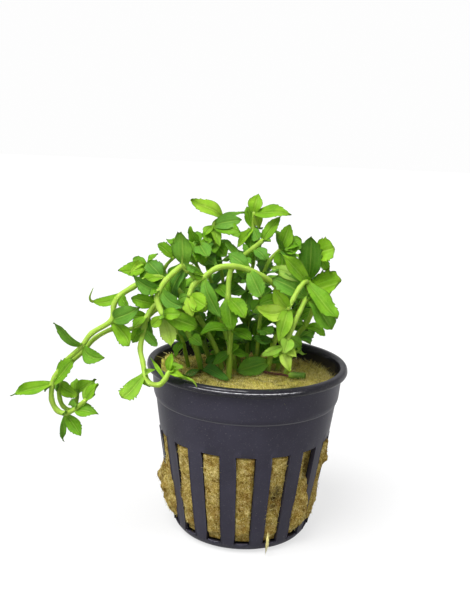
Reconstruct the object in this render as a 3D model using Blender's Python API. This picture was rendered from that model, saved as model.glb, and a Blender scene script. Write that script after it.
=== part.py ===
"""A potted shorts hedge hyssop: a slotted net pot, the rock wool in it, and the shoots that root in it.

Blender works in metres, +Z up. The origin is the middle of the pot's flat bottom. The side that is looked
at is -Y, and the longest shoots trail towards -X.
"""

import math

import bmesh
import bpy
from mathutils import Quaternion, Vector
from mathutils.bvhtree import BVHTree

MM = 0.001

# Driving dimensions of the pot, in millimetres and degrees
POT_HEIGHT = 50.0
LIP_RADIUS = 28.7
LIP_DEPTH = 2.1
LIP_WIDTH = 2.0
BAND_RADIUS = 27.2
BAND_FOOT = 41.2
SHOULDER = 39.4
FOOT_RADIUS = 16.2
FOOT_ROUND = (18.8, 0.9)  # radius and height at the middle of the foot's round
SIDE_FOOT = 3.0
SIDE_FOOT_RADIUS = 20.1
SIDE_SLOPE = 0.19
SIDE_BARREL = 0.00085
WALL = 1.0
FLOOR = 1.2
SLOTS = 16
SLOT_TURN = 1.8
SLOT_FOOT = 3.0
SLOT_TOP = 30.0
SLOT_HALF_FOOT = 6.0
SLOT_HALF_TOP = 6.2
SLOT_STEPS = 2

# The rock wool keeps this gap to the pot, and the stems stand this far over it
GAP = 0.35
WOOL_FOOT = 1.6
WOOL_TOP = 45.5
STEM_START = WOOL_TOP + GAP

# Leaves: width and thickness from the length, and the clearance that two leaves keep
LEAF_WIDTH_SHARE = 0.5
LEAF_WIDTH_LEAST = 0.7
LEAF_KEEL = 0.5
LEAF_ARCH = 0.09
LEAF_CLEARANCE = 0.3
SMALL_LEAF = 8.8
STEM_SIDES = 5

# Colours as sRGB values from 0 to 255
BLACK_PLASTIC = (58, 57, 64)
STRAW_WOOL = (166, 142, 84)
STEM_GREEN = (138, 186, 60)
LEAF_GREEN = (96, 152, 46)

# Each shoot is a stem through its joints (x, y, z), with its leaves listed under the number of the joint
# that they grow from. A leaf is the way from its joint to its tip, and may add its own width and how far,
# in degrees, it rolls its upper face to the front.
# Joints named in pairs grow two opposite leaves by rule.
SHOOTS = {
    "trailing_shoot_outer": dict(
        thick=1.6,
        joints=[(-7, 3, STEM_START), (-8.5, 2, 50.5), (-11, 0.5, 56), (-15, -1, 63), (-20, -4, 70),
                (-24.5, -7.5, 74), (-28, -10, 74), (-31.5, -12, 72), (-34.5, -14, 70), (-36, -15, 67.5),
                (-36.5, -16, 63.5),
                (-41.5, -17, 60), (-44, -18, 56.5), (-48, -18, 52.5), (-51, -18, 48), (-51.8, -18, 45.6),
                (-52, -18, 41.5), (-50.5, -18, 38.5), (-48, -18.5, 38), (-45, -20, 40), (-42, -21, 43)],
        leaves={1: [(-3.5, -1, -2.5, 3.4)],
                5: [(-3.9, 1.5, 4.3), (3, -6, -4)],
                8: [(-7.4, -2, -1.4, 3), (3, -4, -2.5)],
                10: [(8, -4, 5), (5.5, -4, -5.6)],
                12: [(-6.5, -4, 7, 3.4, 45), (7, -4, -1.5)],
                15: [(-11, -2, -3, 3.4), (6.5, -4, 8.5)],
                18: [(4.5, -2, -5.5), (-1, 2, -9, 1.8)],
                19: [(6.5, -2, -0.5), (0.5, 5, -1.5)],
                20: [(3.5, -2, 5), (1.5, 3, 4.5)]},
        pairs=[2, 3]),
    "trailing_shoot_inner": dict(
        thick=1.4,
        joints=[(-10, 8, STEM_START), (-14, 6, 54), (-18, 3, 61), (-22, -2, 65.5), (-25.5, -6, 65),
                (-28, -9, 63), (-30.5, -12, 61), (-34, -14, 60.5), (-36.5, -14.3, 60.8), (-41, -15, 58.2),
                (-44, -15.7, 54.6), (-48, -15.7, 50.5), (-50.5, -15.5, 45), (-50.5, -15.3, 41),
                (-49.5, -15, 38.5), (-47.5, -14.5, 37.5), (-46.5, -14, 39), (-46, -14, 41.5)],
        leaves={5: [(-4.2, -1, 0.6), (2, -3, -5.5)],
                12: [(6, -5, -1.5), (-3, 5, -1)],
                16: [(4.5, 1, -1.5), (-2, 3, 0)],
                17: [(5.5, -1.5, 5.5), (-1, 3, 4)]},
        pairs=[1, 2, 3]),
    "hanging_loop_shoot": dict(
        thick=1.6,
        joints=[(-13, 2.5, STEM_START), (-14.8, -2, 53), (-16.5, -5, 57.5), (-19, -8, 63), (-22.5, -9.5, 67),
                (-25.5, -11, 67), (-27.5, -13, 64), (-28, -14.5, 61), (-28.5, -17, 56.5), (-27.5, -19, 53.5),
                (-26.5, -21, 50.5), (-25, -23, 49), (-22.5, -24, 49), (-21, -24, 50.5), (-20, -23, 52.5)],
        leaves={2: [(4, -4, -1.5), (-4, 1, 2)],
                5: [(-6.5, -1, 2), (3, -3, 3)],
                6: [(-3, -4, -2), (2, 4, 2)],
                7: [(3.8, -1.5, -4, 3), (-3.5, 2, -3.5)],
                10: [(-5.4, -4.5, -5, 5), (3.5, -4, 3)],
                14: [(0.5, 0, 5), (6, -2, -1.5, 2.2), (3, 3, 1)]}),
    "left_drooping_shoot": dict(
        thick=1.8,
        joints=[(-3, 4, STEM_START), (-6, 1, 56), (-10, -3, 67), (-14, -7, 75.5), (-18, -10, 78),
                (-20.5, -12, 76.5), (-22.5, -14, 74.5), (-24, -15, 72), (-24.5, -16, 70), (-23.5, -17, 67.5),
                (-22.5, -18, 66)],
        leaves={4: [(-1, -2, 9.5), (-4.5, 3, -9)],
                7: [(-7, -1, 4, 5), (7.5, -3, -3)],
                10: [(2.5, -2, -8), (9, 1, -3), (5, -2, 1)]},
        pairs=[1, 2]),
    "upper_left_shoot": dict(
        thick=1.1,
        joints=[(-11, 12, STEM_START), (-14, 8, 56), (-18, 4, 64), (-22, -1, 69.5), (-24.5, -4, 73),
                (-23.5, -5.5, 77), (-21, -7, 80)],
        leaves={6: [(-4.5, -1, 3.5), (5, 1, 1.5), (0.5, 4, 4)]},
        pairs=[1, 2, 3]),
    "left_cluster_shoot": dict(
        thick=1.2,
        joints=[(-13.5, 9.5, STEM_START), (-17, 10, 57), (-20, 8, 65), (-24, 4, 70.5), (-27, 1, 74),
                (-29.5, -1, 76.5)],
        leaves={5: [(-7.5, -3, -1.5), (2, -4, -6.5, 4), (-4, 1, 1.5), (3, 2, 3)]},
        pairs=[1, 2, 3]),
    "inner_left_shoot": dict(
        thick=1.2,
        joints=[(-6, 9, STEM_START), (-8, 7, 58), (-11, 4.5, 70), (-13.5, 1, 79), (-15, -2, 83.5)],
        leaves={4: [(-2.5, -1, 4.5), (3, -6, -3), (4, -1, 1), (-1, 5, 2.5)]},
        pairs=[1, 2, 3]),
    "top_left_shoot": dict(
        thick=1.2,
        joints=[(-2, 10, STEM_START), (-5, 6, 57.5), (-7.5, 3.5, 69.5), (-9, 1.5, 78), (-10.5, 0, 83.5),
                (-11, -0.5, 88.6), (-8.4, 1.5, 90.6)],
        leaves={4: [(0.5, -4, -2.5), (4.5, 2, 0)],
                5: [(7.8, -2.5, 1.9, 4.4, 45), (7.7, -4, -1.5), (0.8, -3, -6.5, 3), (-2.8, -1.5, -3.6)],
                6: [(-9.1, -3.5, 4.7, 4.4, 35)]},
        pairs=[1, 2, 3]),
    "top_shoot": dict(
        thick=1.2,
        joints=[(0, 11, STEM_START), (-0.5, 8, 58.5), (-1, 4.5, 69.5), (0.5, 2, 78), (0, 0.5, 84),
                (0, 0, 88), (0, -0.5, 92.5)],
        leaves={3: [(2, -4, 8), (-5, -4, 4)],
                5: [(-2, 1, 5.8, 3.8), (2.5, 4, -0.5)],
                6: [(1, 1.5, 5, 4.6), (10.3, -3, 0, 4.4, 25)]},
        pairs=[1, 2]),
    "front_upright_shoot": dict(
        thick=1.7,
        joints=[(-5, -5, STEM_START), (-5, -6, 54), (-5, -6, 60.5), (-5.5, -6.5, 65), (-6, -6.5, 69.5),
                (-6, -4.5, 74.5), (-5, -4, 78), (-3, -3.5, 80), (0.5, -4, 83), (3, -4, 85.3)],
        leaves={1: [(-4.5, -1, -4), (5.5, 1, -2)],
                2: [(-8.5, -4, -1), (6, -3, -2.5)],
                4: [(5, -6, -4.5, 4.6), (-4.5, 5, 1.5)],
                7: [(-5, 1, 4), (3, -4, -1)],
                9: [(3.5, -3, -2), (4.3, 1.2, 6.6, 3.4), (2, 4, 2)]}),
    "arching_shoot": dict(
        thick=1.7,
        joints=[(6, 3, STEM_START), (6.4, 2.2, 49), (7.5, 0, 56), (10, 0, 62.5), (9, -4, 69.5),
                (6.5, -7, 73.5), (3, -9, 76), (-1, -11, 78), (-5, -13, 79), (-9, -14, 78.5),
                (-12.5, -15, 76), (-15, -16, 74), (-16, -17, 71)],
        leaves={1: [(-8, -1, -1.2, 5.6, 35), (3, 5, 1)],
                2: [(-6, -4, 1), (5, 3, 1)],
                7: [(4, -4, -6.5), (-5.5, 2, 4)],
                10: [(5, -4, -10, 4), (-7, 2, 4, 2.4)],
                12: [(1.5, -3, -4.5, 4.4), (5, -4, -1.5), (-3, 2, -1.5)]},
        pairs=[3]),
    "upper_right_shoot": dict(
        thick=1.3,
        joints=[(2.5, 7.5, STEM_START), (3, 1.5, 59), (3.5, 0, 67.5), (3.5, -2, 75), (5, -3, 79.5),
                (8, -3, 83)],
        leaves={2: [(3.5, -5, -4), (-2.5, 4, 3.5)],
                5: [(2, 1, 6.6, 5), (-2.5, 3, 5.5, 2), (5.5, 1, 2.5), (-2, -3, 2.5)]},
        pairs=[1, 3]),
    "right_nodding_shoot": dict(
        thick=1.5,
        joints=[(9, 6, STEM_START), (10.5, 5, 59), (14.5, 2, 66.5), (16, -4, 72), (15, -8, 75),
                (13, -11, 73.5), (11.5, -13, 71), (10, -14, 68)],
        leaves={4: [(-8, -4, 8, 4.2), (8.5, -5, -9, 5.4)],
                7: [(-4, -2, 6, 4.2), (-8.5, -4, 1.5, 4), (-2, -3, -8.5, 4.4), (2, 2, -4)]},
        pairs=[1, 2]),
    "right_hanging_shoot": dict(
        thick=1.5,
        joints=[(11, 1, STEM_START), (13.5, -1, 57), (16, -2, 61.5), (17.5, -5, 67), (15.5, -9, 70.5),
                (13.5, -12, 67.5), (11.5, -14, 63), (10.5, -15, 60.5), (9.5, -16, 58.3), (9, -16, 57)],
        leaves={2: [(5.5, -2, -2.5), (-4.5, -4, 1.5)],
                4: [(7, -2, -8), (-10.5, 1, 3, 4.6)],
                7: [(-1.5, -4, -3, 4), (4, 3, -3)],
                8: [(3.5, -2, -2), (-6, -2, -2, 2.4)],
                9: [(2.5, -2, -5, 3.2)]},
        pairs=[1]),
    "dark_right_shoot": dict(
        thick=1.2,
        joints=[(12, 10, STEM_START), (12.4, 9.8, 50), (13, 9, 60.5), (15.5, 6.5, 68), (16.5, 3.5, 73.5),
                (18, 3, 77), (18.2, 2, 81.5)],
        leaves={1: [(5.5, 4, -1.5, 3)],
                3: [(9.6, -8.5, 6.4, 5.4, 45)],
                4: [(-0.5, -6, 13.2, 6, 70)],
                6: [(4.6, -3, 2, 6, 65), (2.4, -2, -5.6, 3.2, 30), (-7, 1, 1.5)]},
        pairs=[2]),
    "short_left_shoot": dict(
        thick=1.2,
        joints=[(-17, 4.5, STEM_START), (-18, 1, 51), (-18.5, -3, 55.5), (-20, -5, 59), (-22.5, -6, 62.5)],
        leaves={2: [(-2, -3, -4), (3, 4, 1)],
                4: [(-4, -1, -2.5), (3, 2, 4), (-2, 2, 3)]}),
    "back_left_shoot": dict(
        thick=1.3,
        joints=[(-6, 14, STEM_START), (-9, 17, 56), (-13, 18, 66), (-17, 16, 75), (-20, 12, 80)],
        leaves={4: [(-6, 3, 2), (4, -5, 2), (-2, -3, 5)]},
        pairs=[1, 2, 3]),
    "back_shoot": dict(
        thick=1.3,
        joints=[(3, 14, STEM_START), (4, 17, 57), (4, 18, 68), (2, 15, 77), (-1, 12, 82)],
        leaves={4: [(-6, 2, 3), (5, 3, 3), (0, -4, 5)]},
        pairs=[1, 2, 3]),
    "back_right_shoot": dict(
        thick=1.3,
        joints=[(8, 14, STEM_START), (12, 17, 56), (15, 17, 65), (17, 14, 72), (17, 11, 77)],
        leaves={4: [(5, 2, 2), (-5, 2, 3), (0, 5, 3)]},
        pairs=[1, 2, 3]),
}


def clear_scene():
    for thing in list(bpy.data.objects):
        bpy.data.objects.remove(thing)


def linear(colour):
    """An sRGB colour as the linear colour, with alpha, that a shader takes."""
    shares = [value / 255 for value in colour]
    return [s / 12.92 if s <= 0.04045 else ((s + 0.055) / 1.055) ** 2.4 for s in shares] + [1]


def material(name, colour, roughness):
    made = bpy.data.materials.new(name)
    made.use_nodes = True
    shader = made.node_tree.nodes["Principled BSDF"]
    shader.inputs["Base Color"].default_value = linear(colour)
    shader.inputs["Roughness"].default_value = roughness
    shader.inputs["Metallic"].default_value = 0
    made.diffuse_color = linear(colour)
    return made


def add_object(name, bm, finish, smooth_angle):
    """An object from a bmesh given in millimetres."""
    bmesh.ops.recalc_face_normals(bm, faces=bm.faces)
    bmesh.ops.scale(bm, vec=(MM, MM, MM), verts=bm.verts)
    mesh = bpy.data.meshes.new(name)
    bm.to_mesh(mesh)
    bm.free()
    mesh.materials.append(finish)
    mesh.shade_smooth()
    mesh.set_sharp_from_angle(angle=math.radians(smooth_angle))
    made = bpy.data.objects.new(name, mesh)
    bpy.context.scene.collection.objects.link(made)
    return made


def around(radius, degrees, height):
    """A point on a ring, 0 degrees facing -Y and turning towards +X."""
    a = math.radians(degrees)
    return Vector((radius * math.sin(a), -radius * math.cos(a), height))


def side_radius(height):
    """The pot's outer radius between its rounded foot and its shoulder: a slightly barrelled cone."""
    up = height - SIDE_FOOT
    return SIDE_FOOT_RADIUS + SIDE_SLOPE * up - SIDE_BARREL * up * up


def slot_half(height):
    """Half a slot's width, in degrees. A slot narrows towards its foot."""
    share = min(max((height - SLOT_FOOT) / (SLOT_TOP - SLOT_FOOT), 0), 1)
    return SLOT_HALF_FOOT + (SLOT_HALF_TOP - SLOT_HALF_FOOT) * share


def slot_heights():
    return [SLOT_FOOT + (SLOT_TOP - SLOT_FOOT) * step / SLOT_STEPS for step in range(SLOT_STEPS + 1)]


def pot_outline():
    """(radius, height) up the outside, over the lip and down the inside."""
    lip_foot = POT_HEIGHT - LIP_DEPTH
    outside = [(FOOT_RADIUS, 0), FOOT_ROUND] + [(side_radius(z), z) for z in slot_heights() + [SHOULDER]]
    lip = [(BAND_RADIUS - 0.5, BAND_FOOT), (BAND_RADIUS, lip_foot - 0.3), (LIP_RADIUS - 0.3, lip_foot),
           (LIP_RADIUS, POT_HEIGHT - 0.6), (LIP_RADIUS - 0.6, POT_HEIGHT),
           (LIP_RADIUS - LIP_WIDTH, POT_HEIGHT)]
    inside = [(BAND_RADIUS - WALL, lip_foot - 0.3), (BAND_RADIUS - 0.5 - WALL, BAND_FOOT)]
    inside += [(side_radius(z) - WALL, z) for z in [SHOULDER] + slot_heights()[::-1]]
    return outside + lip + inside + [(FOOT_RADIUS - 0.6, FLOOR)]


def net_pot(finish):
    """Rings of the outline, a column to each edge of a slot, with the slots left open through the wall."""
    bm = bmesh.new()
    outline = pot_outline()
    rings = []
    for radius, height in outline:
        ring = []
        for slot in range(SLOTS):
            middle = SLOT_TURN + 360 / SLOTS * slot
            half = slot_half(height)
            for turn in (-half, half):
                ring.append(bm.verts.new(around(radius, middle + turn, height)))
        rings.append(ring)
    first_out, last_out = 2, 2 + SLOT_STEPS
    last_in = len(outline) - 2
    first_in = last_in - SLOT_STEPS
    columns = len(rings[0])
    for row in range(len(rings) - 1):
        in_slot = first_out <= row < last_out or first_in <= row < last_in
        for column in range(columns):
            if in_slot and column % 2 == 0:
                continue
            after = (column + 1) % columns
            bm.faces.new((rings[row][column], rings[row][after], rings[row + 1][after],
                          rings[row + 1][column]))
    bm.faces.new(rings[0])
    bm.faces.new(rings[-1])
    for slot in range(SLOTS):
        left, right = 2 * slot, 2 * slot + 1
        for step in range(SLOT_STEPS):
            for edge in (left, right):
                bm.faces.new((rings[first_out + step][edge], rings[first_out + step + 1][edge],
                              rings[last_in - step - 1][edge], rings[last_in - step][edge]))
        bm.faces.new((rings[first_out][left], rings[first_out][right], rings[last_in][right],
                      rings[last_in][left]))
        bm.faces.new((rings[last_out][left], rings[last_out][right], rings[first_in][right],
                      rings[first_in][left]))
    return add_object("net_pot", bm, finish, 35)


def wool_bulge(degrees, height):
    """How far the wool stands out of a slot, past the pot's outside. It has burst out low on either side."""
    low = math.exp(-((height - 14) / 7) ** 2)
    left = math.exp(-((degrees + 72) / 22) ** 2)
    right = math.exp(-((degrees - 70) / 14) ** 2)
    return -0.5 + low * (2.4 * left + 1.6 * right)


def rock_wool(finish):
    """One plug that fills the pot and presses into each slot, a gap away from the plastic."""
    bm = bmesh.new()
    press_foot, press_top = SLOT_FOOT + 2.2, SLOT_TOP - 1.3
    heights = [WOOL_FOOT, SLOT_FOOT + 1, press_foot, 14, press_top, SLOT_TOP - 0.5, WOOL_TOP]
    rings = []
    for height in heights:
        ring = []
        for slot in range(SLOTS):
            middle = SLOT_TURN + 360 / SLOTS * slot
            half = slot_half(height)
            for share in (-0.93, -0.62, 0.62, 0.93):
                degrees = middle + share * half
                facing = (degrees + 180) % 360 - 180
                if height < SIDE_FOOT:
                    radius = FOOT_RADIUS - 0.6 - GAP
                elif height < BAND_FOOT:
                    radius = side_radius(height) - WALL - GAP
                else:
                    radius = BAND_RADIUS - 0.5 - WALL - GAP
                if press_foot <= height <= press_top and abs(share) < 0.9:
                    radius = side_radius(height) + wool_bulge(facing, height)
                ring.append(bm.verts.new(around(radius, degrees, height)))
        rings.append(ring)
    columns = len(rings[0])
    for lower, upper in zip(rings, rings[1:]):
        for column in range(columns):
            after = (column + 1) % columns
            bm.faces.new((lower[column], lower[after], upper[after], upper[column]))
    bm.faces.new(rings[0])
    bm.faces.new(rings[-1])
    return add_object("rock_wool", bm, finish, 40)


def smooth_route(joints, spacing=9):
    """Points on a curve through the joints, with more of them on a long stretch."""
    points = [Vector(p) for p in joints]
    ends = [2 * points[0] - points[1]] + points + [2 * points[-1] - points[-2]]
    route = []
    for i in range(len(points) - 1):
        a, b, c, d = ends[i:i + 4]
        steps = math.ceil((c - b).length / spacing)
        for step in range(steps):
            t = step / steps
            route.append(0.5 * (2 * b + (c - a) * t + (2 * a - 5 * b + 4 * c - d) * t * t
                                + (3 * b - a - 3 * c + d) * t ** 3))
    return route + [points[-1]]


def joint_way(joints, number):
    """The stem's direction at one of its joints."""
    before = Vector(joints[max(number - 1, 0)])
    after = Vector(joints[min(number + 1, len(joints) - 1)])
    return (after - before).normalized()


def directions(route):
    ends = [route[0]] + route + [route[-1]]
    return [(after - before).normalized() for before, after in zip(ends, ends[2:])]


def stem(bm, route, thick):
    """A closed round stem along the route, a fifth thinner at its tip."""
    ways = directions(route)
    across = ways[0].orthogonal().normalized()
    rings = []
    for number, (point, way) in enumerate(zip(route, ways)):
        across = (across - way * across.dot(way)).normalized()
        other = way.cross(across)
        radius = thick / 2 * (1 - 0.2 * number / len(route))
        ring = []
        for side in range(STEM_SIDES):
            a = 2 * math.pi * side / STEM_SIDES
            ring.append(bm.verts.new(point + radius * (math.cos(a) * across + math.sin(a) * other)))
        rings.append(ring)
    for lower, upper in zip(rings, rings[1:]):
        for side in range(STEM_SIDES):
            after = (side + 1) % STEM_SIDES
            bm.faces.new((lower[side], lower[after], upper[after], upper[side]))
    bm.faces.new(rings[0][::-1])
    bm.faces.new(rings[-1])


def leaf_frame(base, reach, way, roll):
    """The leaf's own directions: along it, across it, and out of its upper face, which looks up the stem,
    out from the middle of the pot and to the light in front."""
    along = reach.normalized()
    up = way * 0.4 + Vector((base.x * 0.02, base.y * 0.02 - 0.5, 0.65))
    face = (up - along * up.dot(along)).normalized()
    across = along.cross(face)
    front = -across if across.y > 0 else across
    face = face * math.cos(math.radians(roll)) + front * math.sin(math.radians(roll))
    return along, along.cross(face), face


def leaf(bm, base, reach, way, width, roll, grown=0):
    """A leaf blade: narrow where it clasps the stem, broad past the middle, pointed, and bowed along it.
    Each section is its two edges and the keel below, and a small leaf has one fewer. A grown leaf is
    thicker all round."""
    along, across, face = leaf_frame(base, reach, way, roll)
    length = reach.length
    sections = []
    shape = ((0, 0.17), (0.36, 0.92), (0.7, 0.9)) if length > SMALL_LEAF else ((0, 0.17), (0.52, 1.05))
    for t, share in shape:
        middle = base + along * length * t + face * LEAF_ARCH * length * 4 * t * (1 - t)
        half = width / 2 * share + grown
        rim = face * (0.12 * half + grown)
        keel = face * (LEAF_KEEL * (1 - 0.3 * t) + grown)
        sections.append([bm.verts.new(middle + across * half + rim), bm.verts.new(middle - keel),
                         bm.verts.new(middle - across * half + rim)])
    tip = bm.verts.new(base + along * (length + grown))
    for lower, upper in zip(sections, sections[1:]):
        for side in range(3):
            after = (side + 1) % 3
            bm.faces.new((lower[side], lower[after], upper[after], upper[side]))
    for side in range(3):
        bm.faces.new((sections[-1][side], sections[-1][(side + 1) % 3], tip))
    bm.faces.new(sections[0][::-1])


def opposite_pair(way, number, length):
    """Two opposite leaves, which stand a quarter turn round from those of the joint before."""
    side = way.cross(Vector((0, 1, 0))).normalized()
    turned = Quaternion(way, math.radians(90 * number + 25)) @ side
    return [(turned * 0.88 + way * 0.35) * length, (way * 0.35 - turned * 0.88) * length]


def ways_to_grow(reach, way):
    """The reaches that a leaf may take: the wanted one, then those turned, lifted or stunted ever more."""
    lift_axis = reach.cross(way).normalized()
    choices = [(abs(turn) / 15 + abs(lift) / 15 + (1 - size) * 14, turn, lift, size)
               for turn in (0, 12, -12, 25, -25, 40, -40, 60, -60)
               for lift in (0, 12, -12, 25, -25, 40, -40)
               for size in (1, 0.85, 0.7, 0.55)]
    for _, turn, lift, size in sorted(choices):
        turned = Quaternion(way, math.radians(turn)) @ (Quaternion(lift_axis, math.radians(lift)) @ reach)
        yield turned * size


def tree_of(bm):
    return BVHTree.FromBMesh(bm)


def grow_leaves(obstacles, stems):
    """Places every leaf clear of the pot, the wool, the other shoots' stems and the leaves before it.
    The leaves listed by hand come first, and a leaf with no room is left out."""
    grown = {name: [] for name in SHOOTS}
    placed = []
    for by_rule in (False, True):
        for name, shoot in SHOOTS.items():
            wanted = []
            if by_rule:
                for joint in shoot.get("pairs", []):
                    way = joint_way(shoot["joints"], joint)
                    wanted += [(joint, reach, 0, 0) for reach in opposite_pair(way, joint, 9)]
            else:
                for joint, reaches in shoot["leaves"].items():
                    wanted += [(joint, Vector(r[:3]), *(list(r[3:]) + [0, 0])[:2]) for r in reaches]
            for joint, reach, given, roll in wanted:
                way = joint_way(shoot["joints"], joint)
                start = Vector(shoot["joints"][joint])
                for choice in ways_to_grow(reach, way):
                    width = given or LEAF_WIDTH_LEAST + LEAF_WIDTH_SHARE * choice.length
                    base = start - way * 0.4 + choice.normalized() * shoot["thick"] * 0.15
                    ahead = start + choice.normalized() * shoot["thick"] * 0.9
                    guard = bmesh.new()
                    leaf(guard, ahead, choice - (ahead - start), way, width, roll, LEAF_CLEARANCE)
                    tree = tree_of(guard)
                    guard.free()
                    others = obstacles + [s for other, s in stems.items() if other != name]
                    others += [t for owner, t in placed if owner != (name, joint)]
                    if not any(tree.overlap(other) for other in others):
                        placed.append(((name, joint), tree))
                        grown[name].append((base, choice - (base - start), way, width, roll))
                        break
    return grown


def shoot_object(name, shoot, leaves, finish, guide_finish):
    """The stem with its leaves grown into it."""
    blades = bmesh.new()
    for base, reach, way, width, roll in leaves:
        leaf(blades, base, reach, way, width, roll)
    cutter = add_object(name + "_leaves", blades, guide_finish, 30)
    cutter.hide_render = True
    cutter.display_type = "WIRE"
    bm = bmesh.new()
    stem(bm, smooth_route(shoot["joints"]), shoot["thick"])
    made = add_object(name, bm, finish, 40)
    join = made.modifiers.new("leaves", "BOOLEAN")
    join.operation = "UNION"
    join.solver = "EXACT"
    join.use_self = True
    join.object = cutter
    return made


def cut_stem_stub(finish):
    """The short end of a stem that was cut off, lying on the wool."""
    bm = bmesh.new()
    stem(bm, [Vector(p) for p in ((12, -3.4, 46.95), (14, -3.8, 47), (16.5, -4.2, 47.1))], 2)
    return add_object("cut_stem_stub", bm, finish, 40)


def build():
    clear_scene()
    plastic = material("black_plastic", BLACK_PLASTIC, 0.42)
    fibre = material("straw_wool", STRAW_WOOL, 0.95)
    stem_finish = material("stem_green", STEM_GREEN, 0.5)
    leaf_finish = material("leaf_green", LEAF_GREEN, 0.5)
    pot = net_pot(plastic)
    wool = rock_wool(fibre)
    stub = cut_stem_stub(stem_finish)
    obstacles = []
    for thing in (pot, wool, stub):
        bm = bmesh.new()
        bm.from_mesh(thing.data)
        bmesh.ops.scale(bm, vec=(1 / MM, 1 / MM, 1 / MM), verts=bm.verts)
        obstacles.append(tree_of(bm))
        bm.free()
    stems = {}
    for name, shoot in SHOOTS.items():
        bm = bmesh.new()
        stem(bm, smooth_route(shoot["joints"]), shoot["thick"])
        stems[name] = tree_of(bm)
        bm.free()
    leaves = grow_leaves(obstacles, stems)
    for name, shoot in SHOOTS.items():
        shoot_object(name, shoot, leaves[name], leaf_finish, leaf_finish)


build()
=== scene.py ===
"""The look of a potted shorts hedge hyssop. Lengths are in millimetres until an object is made from them."""

import math
import random
from collections import namedtuple

import bpy
from mathutils import Matrix, Quaternion, Vector, noise
from mathutils.bvhtree import BVHTree
from mathutils.kdtree import KDTree


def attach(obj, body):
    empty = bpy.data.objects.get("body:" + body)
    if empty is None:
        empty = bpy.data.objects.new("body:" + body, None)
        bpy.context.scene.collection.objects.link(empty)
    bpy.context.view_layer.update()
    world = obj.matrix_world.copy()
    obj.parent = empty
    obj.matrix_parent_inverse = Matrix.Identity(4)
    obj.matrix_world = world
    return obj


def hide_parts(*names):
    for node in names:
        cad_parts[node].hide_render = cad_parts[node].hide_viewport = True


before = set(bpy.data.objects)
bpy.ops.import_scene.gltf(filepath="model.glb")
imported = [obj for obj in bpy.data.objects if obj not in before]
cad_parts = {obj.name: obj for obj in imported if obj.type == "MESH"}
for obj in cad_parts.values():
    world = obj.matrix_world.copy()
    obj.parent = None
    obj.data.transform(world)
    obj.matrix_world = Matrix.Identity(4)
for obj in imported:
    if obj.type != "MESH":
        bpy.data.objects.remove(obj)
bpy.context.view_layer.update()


# The net pot is one moulding of black polypropylene: a tapered cup with a rolled lip, a band and a step below
# it, and sixteen slots that stay open down to its rounded foot. It stands on its flat bottom.
SLOTS = 16
PITCH = 360 / SLOTS
SLOT_TURN = 1.8
SLOT_FOOT, SLOT_TOP = 3.0, 30.0
SLOT_HALF, SLOT_WIDENS = 6, 0.2
SIDE_FOOT, SIDE_FLARE, SIDE_CURVE = 20.1, 0.19, 0.00085
STEP_EDGE = 39.55, 39.9
WALL = 1.0
EDGE_ROUNDING = 0.22
SLOT_PARTS, RIB_PARTS, SLOT_ROWS = 3, 6, 9


def linear(red, green, blue):
    """A colour given as sRGB from 0 to 255, as a shader takes it."""
    shares = [value / 255 for value in (red, green, blue)]
    return [s / 12.92 if s <= 0.04045 else ((s + 0.055) / 1.055) ** 2.4 for s in shares] + [1]


def around(radius, degrees, height):
    """A point on a ring, 0 degrees facing the front and turning to the right."""
    a = math.radians(degrees)
    return Vector((radius * math.sin(a), -radius * math.cos(a), height))


def side_radius(height):
    """The pot's outside between its foot and its step."""
    up = height - SLOT_FOOT
    return SIDE_FOOT + SIDE_FLARE * up - SIDE_CURVE * up * up


def slot_half(height):
    """Half a slot's width in degrees: a slot narrows towards its foot."""
    return SLOT_HALF + SLOT_WIDENS * min(max((height - SLOT_FOOT) / (SLOT_TOP - SLOT_FOOT), 0), 1)


def pot_outline():
    """(radius, height) up the outside, over the lip and down the inside, and three rows: the slots' foot
    outside, the lip's start and the slots' foot inside."""
    slot_rows = [SLOT_FOOT + (SLOT_TOP - SLOT_FOOT) * i / SLOT_ROWS for i in range(SLOT_ROWS + 1)]
    foot = [(0.01, 0.35), (14.9, 0.35), (15.2, 0), (16.2, 0), (17.6, 0.25), (18.8, 0.9), (19.6, 1.9)]
    side = [(side_radius(z), z) for z in slot_rows + [33, 36, 39.3]]
    step = [(25.9, 39.5), (25.92, 39.62), (26.05, 39.72), (26.25, 40), (26.55, 40.9), (26.65, 41.4)]
    lip = [(27.15, 47.2), (27.3, 47.6), (27.6, 47.8), (28.2, 47.88), (28.5, 48.05), (28.66, 48.35),
           (28.7, 48.6), (28.68, 48.9), (28.61, 49.3), (28.46, 49.65), (28.3, 49.85), (28.05, 49.95),
           (27.6, 50), (27.15, 50), (26.85, 49.9), (26.6, 49.6), (26.45, 49)]
    inside = [(26.15, 47.5), (25.7, 41.2), (25.2, 40.6)]
    inside += [(side_radius(z) - WALL, z) for z in [39.3, 36, 33] + slot_rows[::-1]]
    bottom = [(18.2, 2.1), (16.6, 1.4), (0.01, 1.2)]
    lip_row = len(foot + side + step)
    return foot + side + step + lip + inside + bottom, len(foot), lip_row, lip_row + len(lip + inside) - 1


def join_rings(low, size):
    """The faces between a ring of points and the next ring."""
    return [(low + c, low + (c + 1) % size, low + size + (c + 1) % size, low + size + c) for c in range(size)]


def new_mesh(name, points, faces, finishes, which=None, marks=None):
    """A smooth-shaded object, with a number of a finish for each face and named marks for each point."""
    mesh = bpy.data.meshes.new(name)
    mesh.from_pydata([p * 0.001 for p in points], [], faces)
    for finish in finishes:
        mesh.materials.append(finish)
    if which:
        mesh.polygons.foreach_set("material_index", which)
    for mark, values in (marks or {}).items():
        mesh.attributes.new(mark, "FLOAT", "POINT").data.foreach_set("value", values)
    mesh.shade_smooth()
    piece = bpy.data.objects.new(name, mesh)
    bpy.context.scene.collection.objects.link(piece)
    return piece


def settle(piece, node):
    """Puts the piece in the pot's body and hides the node of the part that it stands in for."""
    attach(piece, "root")
    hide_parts(node)


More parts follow.
